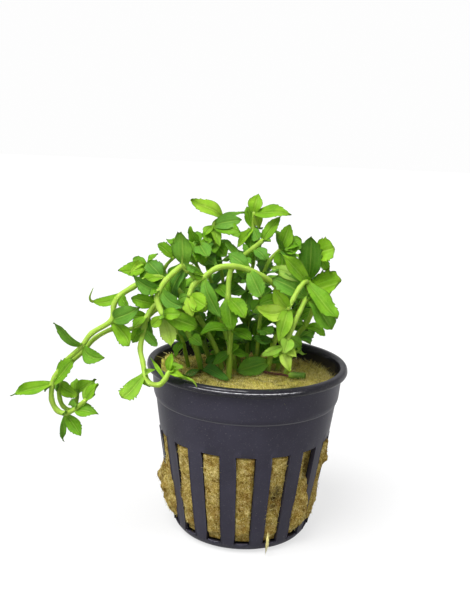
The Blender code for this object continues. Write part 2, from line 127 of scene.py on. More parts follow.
def give(tree, socket, value):
    """Links the socket to another, or sets it to a plain value."""
    if isinstance(value, bpy.types.NodeSocket):
        tree.links.new(value, socket)
    else:
        socket.default_value = value


def add(tree, kind, **values):
    """A shader node, with values for its settings, in small letters, and for its sockets."""
    made = tree.nodes.new(kind)
    for key, value in values.items():
        if key[0].islower():
            setattr(made, key, value)
        else:
            give(tree, made.inputs[key.replace("_", " ")], value)
    return made


def feed(shader, **values):
    """Links or sets the shader's sockets."""
    for key, value in values.items():
        give(shader.id_data, shader.inputs[key.replace("_", " ")], value)


def new_finish(name, **values):
    """A material with the shader's plain values, its node tree and its shader."""
    finish = bpy.data.materials.new(name)
    finish.use_nodes = True
    shader = finish.node_tree.nodes["Principled BSDF"]
    feed(shader, **values)
    return finish, finish.node_tree, shader


def ramp(tree, factor, *stops):
    """A colour ramp with (position, colour) stops."""
    made = add(tree, "ShaderNodeValToRGB", Fac=factor)
    while len(made.color_ramp.elements) < len(stops):
        made.color_ramp.elements.new(0.5)
    for element, (position, colour) in zip(made.color_ramp.elements, stops):
        element.position = position
        element.color = colour
    return made.outputs["Color"]


def mixed(tree, factor, first, second, blend="MIX"):
    """Two colours mixed by a factor."""
    made = add(tree, "ShaderNodeMix", data_type="RGBA", blend_type=blend)
    for number, value in ((0, factor), (6, first), (7, second)):
        give(tree, made.inputs[number], value)
    return made.outputs[2]


def sums(tree, operation, first, second=0, third=0):
    """One of Blender's sums with up to three values."""
    made = add(tree, "ShaderNodeMath", operation=operation)
    for socket, value in zip(made.inputs, (first, second, third)):
        give(tree, socket, value)
    return made.outputs[0]


def times(tree, first, second):
    return sums(tree, "MULTIPLY", first, second)


def tinted(tree, colour, mask, share, other):
    """The colour, with a share of another where the mask is."""
    return mixed(tree, times(tree, mask, share), colour, other)


def faded(tree, value, low, high, start=0, end=1):
    """Goes from start to end while the value goes from low to high."""
    return add(tree, "ShaderNodeMapRange", Value=value, From_Min=low, From_Max=high, To_Min=start,
               To_Max=end).outputs[0]


def mark_of(tree, name):
    """A mark of the piece's points."""
    return add(tree, "ShaderNodeAttribute", attribute_name=name).outputs["Fac"]


def roughen(tree, shader, strength, distance, height):
    """Bumps on the surface, as deep as the distance in metres."""
    bump = add(tree, "ShaderNodeBump", Strength=strength, Distance=distance, Height=height)
    feed(shader, Normal=bump.outputs[0])


def fleck_group():
    """Patches of soft noise in the object's own coordinates: a mask between two levels, and a height."""
    group = bpy.data.node_groups.new("flecks", "ShaderNodeTree")
    for name, value in (("Scale", 500), ("Detail", 5), ("Roughness", 0.6), ("Distortion", 0), ("Low", 0.35),
                        ("High", 0.65)):
        group.interface.new_socket(name, in_out="INPUT", socket_type="NodeSocketFloat").default_value = value
    stretch = group.interface.new_socket("Stretch", in_out="INPUT", socket_type="NodeSocketVector")
    stretch.default_value = (1, 1, 1)
    for name in ("Mask", "Height"):
        group.interface.new_socket(name, in_out="OUTPUT", socket_type="NodeSocketFloat")
    given = group.nodes.new("NodeGroupInput").outputs
    place = add(group, "ShaderNodeMapping", Vector=add(group, "ShaderNodeTexCoord").outputs["Object"],
                Scale=given["Stretch"]).outputs[0]
    grain = add(group, "ShaderNodeTexNoise", Vector=place, Scale=given["Scale"], Detail=given["Detail"],
                Roughness=given["Roughness"], Distortion=given["Distortion"]).outputs["Fac"]
    result = group.nodes.new("NodeGroupOutput").inputs
    group.links.new(faded(group, grain, given["Low"], given["High"]), result["Mask"])
    group.links.new(grain, result["Height"])
    return group


FLECKS = fleck_group()


def flecks(tree, **values):
    """The flecks' mask and height, with a material's own values."""
    made = add(tree, "ShaderNodeGroup", node_tree=FLECKS, **values)
    return made.outputs["Mask"], made.outputs["Height"]


plastic, tree, shader = new_finish("black_plastic", Specular_IOR_Level=0.08, Coat_Roughness=0.06)
cloudy, _ = flecks(tree, Scale=90)
dust, _ = flecks(tree, Scale=2400, Roughness=0.7, Low=0.6, High=0.72)
gloss, _ = flecks(tree, Scale=1500, Detail=2, Low=0.4, High=0.56)
_, grain = flecks(tree, Scale=2600, Detail=2)
polished_and_shaded = mark_of(tree, "polished_and_shaded")
body = mixed(tree, cloudy, linear(53, 51, 63), linear(60, 58, 71))
# Painted shade: the lip and the whole inside are painted near black, as the shade inside the pot, and they
# get a glossier coat.
body = tinted(tree, body, polished_and_shaded, 0.75, linear(16, 15, 19))
# Painted highlight: a thin pale line along the edge of the step below the band.
body = tinted(tree, body, mark_of(tree, "step_painted_highlight"), 0.4, linear(150, 150, 152))
body = tinted(tree, body, dust, 0.3, linear(160, 158, 156))
feed(shader, Base_Color=body, Roughness=faded(tree, cloudy, 0, 1, 0.3, 0.4),
     Coat_Weight=sums(tree, "MULTIPLY_ADD", times(tree, gloss, 0.6), polished_and_shaded, 0.3))
roughen(tree, shader, 0.1, 0.0002, grain)

outline, first_row, lip_row, last_row = pot_outline()
columns_each = SLOT_PARTS + RIB_PARTS
columns = SLOTS * columns_each
points, faces, polished_and_shaded_rows, step_painted_highlights = [], [], [], []
for number, (radius, height) in enumerate(outline):
    # The lip and the inside are marked for painted shade and a glossier coat.
    polished_and_shaded_rows += [float(number > lip_row)] * columns
    # The edge of the step is marked for a painted highlight.
    step_painted_highlights += [float(STEP_EDGE[0] < height < STEP_EDGE[1])] * columns
    half = slot_half(height)
    turns = [half * (2 * i / SLOT_PARTS - 1) for i in range(SLOT_PARTS)]
    turns += [half + (PITCH - 2 * half) * i / RIB_PARTS for i in range(RIB_PARTS)]
    for slot in range(SLOTS):
        points += [around(radius, SLOT_TURN + PITCH * slot + turn, height) for turn in turns]


def corner(row, column):
    return row * columns + column % columns


for row in range(len(outline) - 1):
    in_slot = first_row <= row < first_row + SLOT_ROWS or last_row - SLOT_ROWS <= row < last_row
    faces += [face for column, face in enumerate(join_rings(row * columns, columns))
              if not (in_slot and column % columns_each < SLOT_PARTS)]
for left in range(0, columns, columns_each):
    for row in range(SLOT_ROWS):
        for column, order in ((left, 1), (left + SLOT_PARTS, -1)):
            side = (corner(first_row + row, column), corner(first_row + row + 1, column),
                    corner(last_row - row - 1, column), corner(last_row - row, column))
            faces.append(side[::order])
    for column in range(left, left + SLOT_PARTS):
        for row, order in ((0, -1), (SLOT_ROWS, 1)):
            sill = (corner(first_row + row, column), corner(last_row - row, column),
                    corner(last_row - row, column + 1), corner(first_row + row, column + 1))
            faces.append(sill[::order])
faces.append(range(columns)[::-1])
faces.append(range(len(points) - columns, len(points)))
pot = new_mesh("pot", points, faces, [plastic], marks={"polished_and_shaded": polished_and_shaded_rows, "step_painted_highlight": step_painted_highlights})
soften = pot.modifiers.new("moulded edges", "BEVEL")
soften.width = EDGE_ROUNDING * 0.001
soften.segments = 2
soften.limit_method = "ANGLE"
soften.angle_limit = math.radians(60)
settle(pot, "net_pot")


# The rock wool is a plug of loose mineral fibre, the colour of damp straw. It is pushed into the pot, bulges
# through the slots where it has torn, and its cut top lies a little below the lip.
WOOL_FOOT, WOOL_TOP = 1.6, 45.5
CUT_ROUNDING = 1.6
WOOL_ROWS = 100
TOP_RINGS = 34
BAND_FOOT, BAND_LEVEL, BAND_INSIDE, BAND_FLARE = 39, 40, 25.1, 0.08
UNDER_RADIUS, UNDER_FLARE = 15.4, 2.3
IN_SLOT = (-1, -0.95, -0.88, -0.74, -0.58, -0.4, -0.2, 0, 0.2, 0.4, 0.58, 0.74, 0.88, 0.95, 1)
BEHIND_RIB = (0.2, 0.4, 0.6, 0.8)
BURSTS = ((1.4, (-78, 12), (20, 7)), (1, (52, 11), (9, 6)), (0.7, (76, 11), (9, 6)),
          (0.7, (73, 25.5), (7, 4.5)))


def smooth_step(value, low, high):
    share = min(max((value - low) / (high - low), 0), 1)
    return share * share * (3 - 2 * share)


def rough(x, y, z, size):
    """Noise from about -1 to 1, with lumps of the given size."""
    return noise.noise(Vector((x, y, z)) / size)


def hump(x, y, at, size, power=2):
    """A soft hump 1 high. A greater power gives it a flatter top."""
    return math.exp(-((x - at[0]) / size[0]) ** power - ((y - at[1]) / size[1]) ** power)


def burst_at(facing, height):
    """How far the wool has burst out between the slots, at one place on the left and three on the right."""
    out = sum(far * hump(facing, height, at, size) for far, at, size in BURSTS)
    return out * (0.8 + 0.5 * rough(facing, height, 3, 4))


def torn_at(facing, height):
    """How far the wool is torn: a hole under the top of one slot, and a ragged place in the next."""
    hole = hump(facing, height, (50, 26), (3.6, 4.6), 4)
    ragged = hump(facing, height, (25, 17.5), (5, 4.4))
    return hole, ragged * (0.45 + 0.55 * smooth_step(rough(facing / 3, height, 7, 1.4), -0.3, 0.3))


def wool_side(degrees, height):
    """The plug's radius: inside the wall, and out to the slots' mouths with torn lumps."""
    half = slot_half(height)
    turned = abs((degrees - SLOT_TURN + PITCH / 2) % PITCH - PITCH / 2) / half
    facing = (degrees + 180) % 360 - 180
    spot = around(24, degrees, height)
    wall = side_radius(height) - WALL
    if height >= BAND_FOOT:
        wall = BAND_INSIDE + BAND_FLARE * (height - BAND_LEVEL)
    elif height < SLOT_FOOT:
        wall = UNDER_RADIUS + UNDER_FLARE * (height - WOOL_FOOT)
    inner = wall - 0.25 - 0.12 * rough(*spot, 1.5)
    inner -= 0.7 * smooth_step(height, WOOL_TOP - CUT_ROUNDING, WOOL_TOP)
    burst = burst_at(facing, height)
    hole, ragged = torn_at(facing, height)
    gap_foot = SLOT_FOOT + 0.6 + 1.1 * (1 + rough(facing / 7, 3, 5, 1))
    through = smooth_step(height, gap_foot, gap_foot + 1.2) * smooth_step(SLOT_TOP - height, 0.05, 0.5)
    through *= 1 - smooth_step(turned, 0.95 + 0.45 * burst, 0.99 + 0.5 * burst)
    lumps = 0.34 * rough(*spot, 3.2) + 0.14 * rough(*spot, 1.1) + 0.12 * rough(*spot, 0.5)
    outer = side_radius(height) - 0.3 + lumps * (1 + burst)
    outer += burst * (0.7 + 2.1 * max(1 - (turned / 1.7) ** 2, 0))
    outer -= 0.9 * ragged + 0.3 * smooth_step(turned, 0.7, 1) * (1 - burst)
    if turned > 0.95 and burst > 0.12:
        outer = max(outer, side_radius(height) + 0.1)
    return inner - 3 * hole + (outer - inner) * through * (1 - hole)


def wool_height(x, y):
    """The plug's cut top, with a torn flap at the left and dips where stems were pressed in."""
    bumps = 0.45 * rough(x, y, 0, 6) + 0.3 * rough(x, y, 4, 2.2) + 0.14 * rough(x, y, 8, 0.9)
    flap = 3.4 * hump(x, y, (-24.5, 2), (5.5, 9.5), 4)
    flap *= 0.6 + 0.4 * smooth_step(rough(x, y, 2, 2.2), -0.2, 0.2)
    gully = 2 * hump(x, y, (-19.5, 1), (2, 3))
    mound = 0.7 * hump(x, y, (4, -19), (13, 6))
    edge = 0.5 * smooth_step(math.hypot(x, y), 20, 24.5)
    return WOOL_TOP + bumps + flap - gully + mound - edge


points, faces, painted_wool_shade_marks = [], [], []
ring = SLOTS * (len(IN_SLOT) + len(BEHIND_RIB))
for row in range(WOOL_ROWS + 1):
    height = WOOL_FOOT + (WOOL_TOP - 0.4 - WOOL_FOOT) * row / WOOL_ROWS
    half = slot_half(height)
    turns = [half * share for share in IN_SLOT] + [half + (PITCH - 2 * half) * share for share in BEHIND_RIB]
    for slot in range(SLOTS):
        for turn in turns:
            degrees = SLOT_TURN + PITCH * slot + turn
            points.append(around(wool_side(degrees, height), degrees, height))
            # Painted shade in the slots' torn hole and ragged place.
            painted_wool_shade_marks.append(max(torn_at((degrees + 180) % 360 - 180, height)))
rim = points[-ring:]
top_painted_light_marks = [0] * len(points)
for inward in range(1, TOP_RINGS + 1):
    share = 1 - inward / (TOP_RINGS + 1)
    for spot in rim:
        x, y = spot.x * share, spot.y * share
        z = wool_height(x, y)
        spread = 1 + 0.012 * max(z - WOOL_TOP, 0)
        points.append(Vector((x * spread, y * spread, z)))
        # Painted shade in patches on the top behind the front stems.
        painted_wool_shade_marks.append(0.85 * smooth_step(rough(x, y, 9, 2.4), 0, 0.45) * smooth_step(y, -16, -9))
        # Painted light: the cut top is marked to be painted brighter, and more so on its higher lumps.
        top_painted_light_marks.append(1 + 0.25 * max(z - WOOL_TOP - 1, 0))
for number in range(WOOL_ROWS + TOP_RINGS):
    faces += join_rings(number * ring, ring)
faces.append(range(len(points) - ring, len(points)))
faces.append(range(ring)[::-1])

wool_finish, tree, shader = new_finish("straw_wool", Roughness=0.95, Specular_IOR_Level=0.1)
damp, _ = flecks(tree, Scale=160, Distortion=0.6, Low=0.4, High=0.68)
patches, _ = flecks(tree, Scale=230, Detail=3, Distortion=0.8, Low=0.42, High=0.62)
specks, _ = flecks(tree, Scale=1500, Detail=3, Low=0.6, High=0.72)
_, clumps = flecks(tree, Scale=620, Detail=3, Distortion=1.2)
_, strands = flecks(tree, Scale=2300, Detail=5, Roughness=0.8, Distortion=1.8, Stretch=(1, 1, 0.6))
cut = mark_of(tree, "cut")
fluff = sums(tree, "MULTIPLY_ADD", clumps, 0.3, times(tree, strands, 0.7))
colour = ramp(tree, fluff, (0.36, linear(78, 60, 24)), (0.45, linear(146, 122, 54)),
              (0.52, linear(206, 182, 94)), (0.61, linear(255, 244, 184)))
for mask, share, stain in ((patches, 0.6, linear(176, 146, 112)), (damp, 0.4, linear(200, 172, 116))):
    colour = tinted(tree, colour, mask, share, mixed(tree, 1, colour, stain, "MULTIPLY"))
specks = times(tree, specks, sums(tree, "MULTIPLY_ADD", cut, -0.5, 0.55))
colour = mixed(tree, specks, colour, linear(78, 60, 28))
# Painted light: the cut top is painted a brighter, yellower straw than the sides, and more on its higher
# lumps, as lit from above.
colour = tinted(tree, colour, cut, 0.55, linear(255, 252, 116))
# Painted shade: the wool is darkened to deep brown in the torn hole and ragged place of the slots, and in
# patches on the top behind the front stems.
painted_wool_shade = faded(tree, sums(tree, "MULTIPLY_ADD", clumps, 0.9, mark_of(tree, "painted_wool_shade")), 0.55, 1.25, 0, 0.85)
feed(shader, Base_Color=mixed(tree, painted_wool_shade, colour, linear(48, 36, 17)))
roughen(tree, shader, 1, 0.0005, fluff)
wool = new_mesh("wool", points, faces, [wool_finish], marks={"painted_wool_shade": painted_wool_shade_marks, "cut": top_painted_light_marks})
settle(wool, "rock_wool")


# Loose fibres of the same wool lie on its cut top, stand up from it, and lie in the slots. Each is a thin
# closed thread, and all of them are one mesh. A wisp hangs out of one slot at the front.
LYING, UPRIGHT, SLOTTED, WISP = 3000, 14500, 5000, 14
FIBRE_REACH = 24.4
WISP_THICK = 0.08


def thread(points, faces, route, thick, sides=3, thin=1):
    """A closed strand along the route, pointed at both ends, that can get thinner. Gives how many points."""
    start = len(points)
    points.append(route[0])
    across = (route[1] - route[0]).orthogonal().normalized()
    for number, (before, spot, after) in enumerate(zip(route, route[1:], route[2:])):
        way = (after - before).normalized()
        across = (across - way * across.dot(way)).normalized()
        other = way.cross(across)
        radius = thick * (1 + (thin - 1) * number / (len(route) - 2))
        for side in range(sides):
            a = 2 * math.pi * side / sides
            points.append(spot + radius * (math.cos(a) * across + math.sin(a) * other))
    points.append(route[-1])
    last = len(points) - 1 - sides
    for low in range(start + 1, last, sides):
        faces += join_rings(low, sides)
    for side in range(sides):
        after = (side + 1) % sides
        faces.append((start, start + 1 + after, start + 1 + side))
        faces.append((last + side, last + after, last + sides))
    return len(points) - start


def fibre_route(rng, spot, normal, length, lift):
    """A loose curl that starts just under the surface and mostly follows it, or stands up from it."""
    way = Vector([rng.gauss(0, 1) for _ in range(3)])
    way = (way - normal * way.dot(normal)).normalized() * (1 - lift) + normal * lift
    bend = Vector([rng.gauss(0, 1) for _ in range(3)]) * 0.3
    bend -= normal * bend.dot(normal) * 0.5
    return [spot - normal * 0.12 + (way * s + bend * s * s + normal * 0.06 * math.sin(3.1 * s)) * length
            for s in (0, 0.3, 0.65, 1)]


rng = random.Random(7)
points, faces, tones = [], [], []
for number in range(LYING + UPRIGHT + SLOTTED):
    lying, on_top = number < LYING, number < LYING + UPRIGHT
    if on_top:
        spot = around(FIBRE_REACH * math.sqrt(rng.random()), rng.uniform(0, 360), 0)
        spot.z = wool_height(spot.x, spot.y)
        normal = Vector((0, 0, 1))
        length, lift = rng.uniform(0.5, 1.5), rng.uniform(0.5, 0.97)
        if lying:
            length, lift = rng.uniform(1.2, 3.6), rng.uniform(0.02, 0.25)
        else:
            length *= 1 + 0.9 * smooth_step(spot.x, 15, 21)
    else:
        slot = rng.randrange(SLOTS)
        height = rng.uniform(SLOT_FOOT + 2, SLOT_TOP - 0.8)
        degrees = SLOT_TURN + PITCH * slot + rng.uniform(-0.85, 0.85) * slot_half(height)
        spot = around(wool_side(degrees, height), degrees, height)
        normal = around(1, degrees, 0)
        length, lift = rng.uniform(0.4, 1.4), rng.uniform(0, 0.35)
    route = fibre_route(rng, spot, normal, length, lift)
    if on_top and not lying:
        route = route[::2] + route[-1:]
    took = thread(points, faces, route, rng.uniform(0.03, 0.06))
    tones += [rng.random()] * took
for _ in range(WISP):
    start = around(22.3, rng.uniform(19.6, 21.4), rng.uniform(4.5, 8))
    end = around(22, rng.gauss(19.4, 0.25), rng.uniform(0.1, 2.6))
    middle = start.lerp(end, 0.5) + Vector([rng.uniform(-0.2, 0.2) for _ in range(3)])
    route = [start, start.lerp(middle, 0.6), middle, end]
    tones += [rng.uniform(0.7, 1)] * thread(points, faces, route, WISP_THICK)
fibre_finish, tree, shader = new_finish("wool_fibre", Roughness=0.8, Specular_IOR_Level=0.25)
feed(shader, Base_Color=ramp(tree, mark_of(tree, "tone"), (0, linear(130, 110, 46)),
                             (0.45, linear(206, 190, 94)), (1, linear(255, 246, 176))))
fibres = new_mesh("wool_fibres", points, faces, [fibre_finish], marks={"tone": tones})
settle(fibres, "rock_wool")


# Every shoot is a soft hairy stem with pairs of toothed leaves that clasp it at its joints. Light falls
# through its thin leaves. It roots in the wool by itself, where it was planted as a cutting.
# A leaf's light is how pale its green is, and a shoot's light that of its stem: partly their own tone and
# partly painted light and shade for where they stand.
Leaf = namedtuple("Leaf", "x y z wide roll light bow sway twist fold blunt hair cool sag curl",
                  defaults=(0, 0, 0.5, 0.09, 0, 0, 0.2, None, 0, None, 0, None))
MARKS = ("across", "along", "tone", "under", "warm")
STEM, BLADE, HAIR = range(3)
STEM_SIDES, STEM_STEP, STEM_TAPER = 10, 0.7, 0.2
KNOT_HALF, KNOT_SWELL = 0.7, 0.14
HAIRS_EACH, HAIR_THICK = 3, 0.025
PLANTED = 1.4
BLADE_ACROSS = (-1, -0.93, -0.8, -0.68, -0.52, -0.36, -0.2, -0.06, 0.06, 0.2, 0.36, 0.52, 0.68, 0.8, 0.93, 1)
MIDRIB_HALF = 0.1
SIDE_RIBS = (0.36, 0.68)
TOOTHED_FROM = 0.5
PLAIN_ROWS = 7
LONG_LEAF = 5.5
# Leaves that stand among the others get a low tone, as painted shade deep among the shoots.
HIDDEN_PAINTED_SHADE = 0.3
PAIR_LENGTH = 9
SPARE_FOOT, SPARE_TOP, SPARE_FRONT, SPARE_OUT = 46.5, 74, 1, 23
SAME_TIP = 0.03


class Growth:
    """A shoot's points and faces, each face's finish, and what its finishes read at each point."""

    def __init__(self):
        self.points, self.faces, self.which = [], [], []
        self.marks = {name: [] for name in MARKS}

    def settle_marks(self, row, finish):
        for name in MARKS:
            self.marks[name] += [mark.get(name, 0) for mark in row]
        self.which += [finish] * (len(self.faces) - len(self.which))

    def tube(self, rings, marks, finish, tip=None):
        """Joins rings of points, from a flat start to a flat or a pointed end."""
        start, size = len(self.points), len(rings[0])
        last = start + (len(rings) - 1) * size
        self.points += sum(rings, [])
        row = sum(marks, [])
        self.faces.append(range(start, start + size)[::-1])
        for low in range(start, last, size):
            self.faces += join_rings(low, size)
        if tip is None:
            self.faces.append(range(last, last + size))
        else:
            self.points.append(tip)
            row.append(dict(marks[-1][size // 4], along=1))
            self.faces += [(last + c, last + (c + 1) % size, last + size) for c in range(size)]
        self.settle_marks(row, finish)

    def strand(self, route, thick, finish, sides=3, thin=1, **mark):
        took = thread(self.points, self.faces, route, thick, sides, thin)
        self.settle_marks([mark] * took, finish)


def curve_through(joints, spacing):
    """Points on a curve through the joints, no further apart than the spacing, and each joint's number."""
    spots = [Vector(p) for p in joints]
    ends = [2 * spots[0] - spots[1]] + spots + [2 * spots[-1] - spots[-2]]
    route, numbers = [], []
    for a, b, c, d in zip(ends, ends[1:], ends[2:], ends[3:]):
        numbers.append(len(route))
        steps = math.ceil((c - b).length / spacing)
        for step in range(steps):
            t = step / steps
            route.append(0.5 * (2 * b + (c - a) * t + (2 * a - 5 * b + 4 * c - d) * t * t
                                + (3 * b - a - 3 * c + d) * t ** 3))
    numbers.append(len(route))
    return route + [spots[-1]], numbers


def way_at(route, number):
    """The direction of a row of points at one of them."""
    return (Vector(route[min(number + 1, len(route) - 1)]) - Vector(route[max(number - 1, 0)])).normalized()


def grow_stem(growth, route, numbers, thick, light, rng):
    """The stem, swollen and pale at each joint, with short pale hairs."""
    lengths = [0]
    for a, b in zip(route, route[1:]):
        lengths.append(lengths[-1] + (b - a).length)
    knots = [lengths[n] for n in numbers[1:]]
    across = (route[1] - route[0]).orthogonal().normalized()
    rings, marks = [], []
    for number, spot in enumerate(route):
        way = way_at(route, number)
        across = (across - way * across.dot(way)).normalized()
        other = way.cross(across)
        swell = math.exp(-(min(abs(lengths[number] - knot) for knot in knots) / KNOT_HALF) ** 2)
        radius = thick / 2 * (1 - STEM_TAPER * number / len(route)) * (1 + KNOT_SWELL * swell)
        if number == len(route) - 1:
            radius *= 0.7
        ring = []
        for side in range(STEM_SIDES):
            a = 2 * math.pi * side / STEM_SIDES
            ridge = 1 + 0.05 * math.cos(4 * a) + 0.03 * rough(*spot, 1.3)
            ring.append(spot + radius * ridge * (math.cos(a) * across + math.sin(a) * other))
        rings.append(ring)
        marks.append([{"across": swell, "along": number / len(route), "tone": light}] * STEM_SIDES)
        for _ in range(HAIRS_EACH):
            out = (across * rng.gauss(0, 1) + other * rng.gauss(0, 1)).normalized()
            foot = spot + out * radius * 0.9
            tip = foot + out * rng.uniform(0.2, 0.42) + way * rng.uniform(-0.15, 0.25)
            growth.strand([foot, foot.lerp(tip, 0.4), tip], HAIR_THICK, HAIR)
    growth.tube(rings, marks, STEM)


def leaf_frame(base, reach, way, roll):
    """The leaf's own directions: along it, across it and out of its upper face, which faces the light."""
    along = reach.normalized()
    up = way * 0.4 + Vector((base.x * 0.02, base.y * 0.02 - 0.5, 0.65))
    face = (up - along * up.dot(along)).normalized()
    across = along.cross(face)
    front = -across if across.y > 0 else across
    face = face * math.cos(math.radians(roll)) + front * math.sin(math.radians(roll))
    return along, along.cross(face), face


def leaf_half(share, blunt):
    """Half the leaf's width, as a share of its widest. A blunt leaf is widest further out, and a young leaf,
    whose bluntness is under 0, near the foot that clasps its stem."""
    foot = 0.3 - 0.32 * min(blunt, 0)
    widest = 0.48 + (0.16 if blunt > 0 else 0.18) * blunt
    if share < widest:
        return foot + (1 - foot) * math.sin(share / widest * math.pi / 2) ** (1 + 0.3 * max(blunt, 0))
    past = (share - widest) / (1 - widest)
    pointed = math.cos(past * math.pi / 2) ** (0.95 - 0.45 * min(blunt, 0))
    return pointed + (1 - past ** (2.6 + 1.8 * max(blunt, 0)) - pointed) * max(blunt, 0)


def grow_leaf(growth, base, reach, way, leaf, rng):
    """A blade folded along its midrib, with wavy margins, teeth in its outer half and a thick rib below."""
    along, across, face = leaf_frame(base, reach, way, leaf.roll)
    length = reach.length
    width = leaf.wide or 0.9 + 0.47 * length
    draw = rng.choice((-0.6, -0.3, -0.1, 0.1, 0.3, 0.6))
    blunt = draw if leaf.blunt is None else leaf.blunt
    rows, teeth = (22, 3.6) if length > LONG_LEAF else (12, 2.4)
    teeth *= rng.uniform(0.85, 1.25)
    depth = (0.19 + 0.09 * max(blunt, 0)) * rng.uniform(0.7, 1.3) * (0.3 if blunt < -0.3 else 1)
    phases = rng.random(), rng.random()
    wave, ripple = rng.uniform(0.02, 0.07) * length, rng.uniform(0.9, 1.9)
    fold = leaf.fold + rng.uniform(-0.02, 0.18)
    bow = leaf.bow + rng.uniform(-0.05, 0.08)
    sway = leaf.sway + rng.uniform(-0.025, 0.05)
    twist = leaf.twist or rng.uniform(-22, 22)
    mark = {"tone": leaf.light + rng.uniform(-0.07, 0.07),
            "warm": rng.uniform(0, 1) if leaf.cool is None else leaf.cool}
    shares = [TOOTHED_FROM * i / PLAIN_ROWS for i in range(PLAIN_ROWS)]
    shares += [TOOTHED_FROM + (1 - TOOTHED_FROM) * (1 - (1 - i / rows) ** 1.15) for i in range(rows)]
    rings, marks = [], []
    for share in shares:
        centre = base + along * length * share
        centre += face * length * (bow * 4 * share * (1 - share) + sway * math.sin(2 * math.pi * share))
        centre.z -= leaf.sag * length * 4 * share * (1 - share)
        turn = math.radians(twist) * share
        over = across * math.cos(turn) + face * math.sin(turn)
        out = face * math.cos(turn) - across * math.sin(turn)
        blade = min(share / (1 - leaf.hair), 1)
        half = max(width / 2 * leaf_half(blade, blunt), 0.13 if leaf.hair and share < 0.97 else 0)
        toothed = max((share - TOOTHED_FROM) / (1 - TOOTHED_FROM), 0)
        top, below = [], []
        for u in BLADE_ACROSS:
            phase = phases[u > 0]
            midrib = abs(u) < MIDRIB_HALF
            bite = (((toothed * teeth + phase) % 1) ** 1.5 - 0.5) * smooth_step(toothed, 0.05, 0.3)
            tooth = 1 + depth * bite * smooth_step(abs(u), 0.6, 1)
            flow = wave * u * u * math.sin(6.28 * (ripple * share + phase)) * (0.3 + share)
            lift = fold * half * (1 - 0.4 * share) * (abs(u) ** 1.3 - 0.35) + flow
            groove = 0.06 if midrib else 0.025 if abs(u) in SIDE_RIBS else 0
            spot = centre + over * half * u * tooth + out * (lift - groove)
            top.append((spot, dict(mark, across=u, along=share)))
            if abs(u) < 1:
                thick = 0.09 + 0.08 * (1 - abs(u)) + (0.3 - 0.22 * share if midrib else 0)
                below.append((spot - out * thick, dict(mark, across=u, along=share, under=1)))
        ring = top + below[::-1]
        rings.append([spot for spot, _ in ring])
        marks.append([row for _, row in ring])
    tip = base + along * length
    growth.tube(rings, marks, BLADE, tip)
    if leaf.curl:
        curl = Vector(leaf.curl)
        end, past = tip + curl, tip + along * 0.2 * curl.length
        tail, _ = curve_through([rings[-6][len(BLADE_ACROSS) // 2], tip, past.lerp(end, 0.35), end], 0.4)
        growth.strand(tail, 0.42, BLADE, 5, 0.2, along=0.94, tone=leaf.light)


def opposite_pair(way, number, length):
    """Two opposite leaves, which stand a quarter turn round from those of the joint before."""
    side = way.cross(Vector((0, 1, 0))).normalized()
    turned = Quaternion(way, math.radians(90 * number + 25)) @ side
    return [(turned * 0.88 + way * 0.35) * length, (way * 0.35 - turned * 0.88) * length]


def ways_to_grow(reach, way):
    """The reaches that a leaf may take: the wanted one, then those turned, lifted or stunted ever more."""
    lift_axis = reach.cross(way).normalized()
    choices = [(abs(turn) / 15 + abs(lift) / 15 + (1 - size) * 14, turn, lift, size)
               for turn in (0, 12, -12, 25, -25, 40, -40, 60, -60)
               for lift in (0, 12, -12, 25, -25, 40, -40)
               for size in (1, 0.85, 0.7, 0.55)]
    for _, turn, lift, size in sorted(choices):
        turned = Quaternion(way, math.radians(turn)) @ (Quaternion(lift_axis, math.radians(lift)) @ reach)
        yield turned * size


def corners_of(solid):
    """The corners of a solid of the part."""
    return [solid.matrix_world @ vertex.co * 1000 for vertex in solid.data.vertices]


def solids_tree():
    """All the solids, to find room between them."""
    points, faces = [], []
    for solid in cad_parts.values():
        first = len(points)
        points += corners_of(solid)
        faces += [[first + number for number in face.vertices] for face in solid.data.polygons]
    return BVHTree.FromPolygons(points, faces)


SOLIDS = solids_tree()
taken = []


def find_room(base, reach, way, clear):
    """Whether a small leaf fits there, past its foot. If so, its place is taken."""
    across = leaf_frame(base, reach, way, 0)[1] * (0.35 + 0.25 * reach.length) * 0.8
    spots = [base + reach * share + across * side
             for share, side in ((0.5, 0), (0.5, 1), (0.5, -1), (0.75, 0.6), (0.75, -0.6), (1, 0))]
    for spot in spots:
        if SOLIDS.find_nearest(spot, clear)[0] or any((spot - other).length < 1.2 for other in taken):
            return False
    taken.extend(spots)
    return True


def sideways(way, angle):
    """A direction square to the way, turned round it."""
    return Quaternion(way, angle) @ way.orthogonal().normalized()


def hidden_leaf(reach, light, rng):
    """A leaf that stands among the others, where it is hardly seen."""
    return Leaf(*reach, light=light, twist=rng.uniform(-25, 25), fold=rng.uniform(0.1, 0.35))


def grow_spare_leaves(growth, route, numbers, rng):
    """Leaves that fill the room between the joints of a shoot that stands among the others."""
    for low, high in zip(numbers, numbers[1:]):
        for share in (0.3, 0.65):
            number = round(low + (high - low) * share)
            base, way = route[number], way_at(route, number)
            if base.z < SPARE_FOOT or base.z > SPARE_TOP or base.y < SPARE_FRONT:
                continue
            turn = rng.uniform(0, 90)
            for quarter in (0, 2) if rng.random() < 0.6 else (1,):
                out = sideways(way, math.radians(turn + 90 * quarter))
                for length in (8.5, 7):
                    reach = (out + way * rng.uniform(0.1, 0.6)).normalized() * length
                    tip = base + reach
                    if tip.y < -1 or math.hypot(tip.x, tip.y) > SPARE_OUT or not 47 < tip.z < 78:
                        continue
                    if find_room(base, reach, way, 0.6):
                        look = hidden_leaf(reach, HIDDEN_PAINTED_SHADE + rng.uniform(-0.12, 0.1), rng)
                        grow_leaf(growth, base, reach, way, look, rng)
                        break


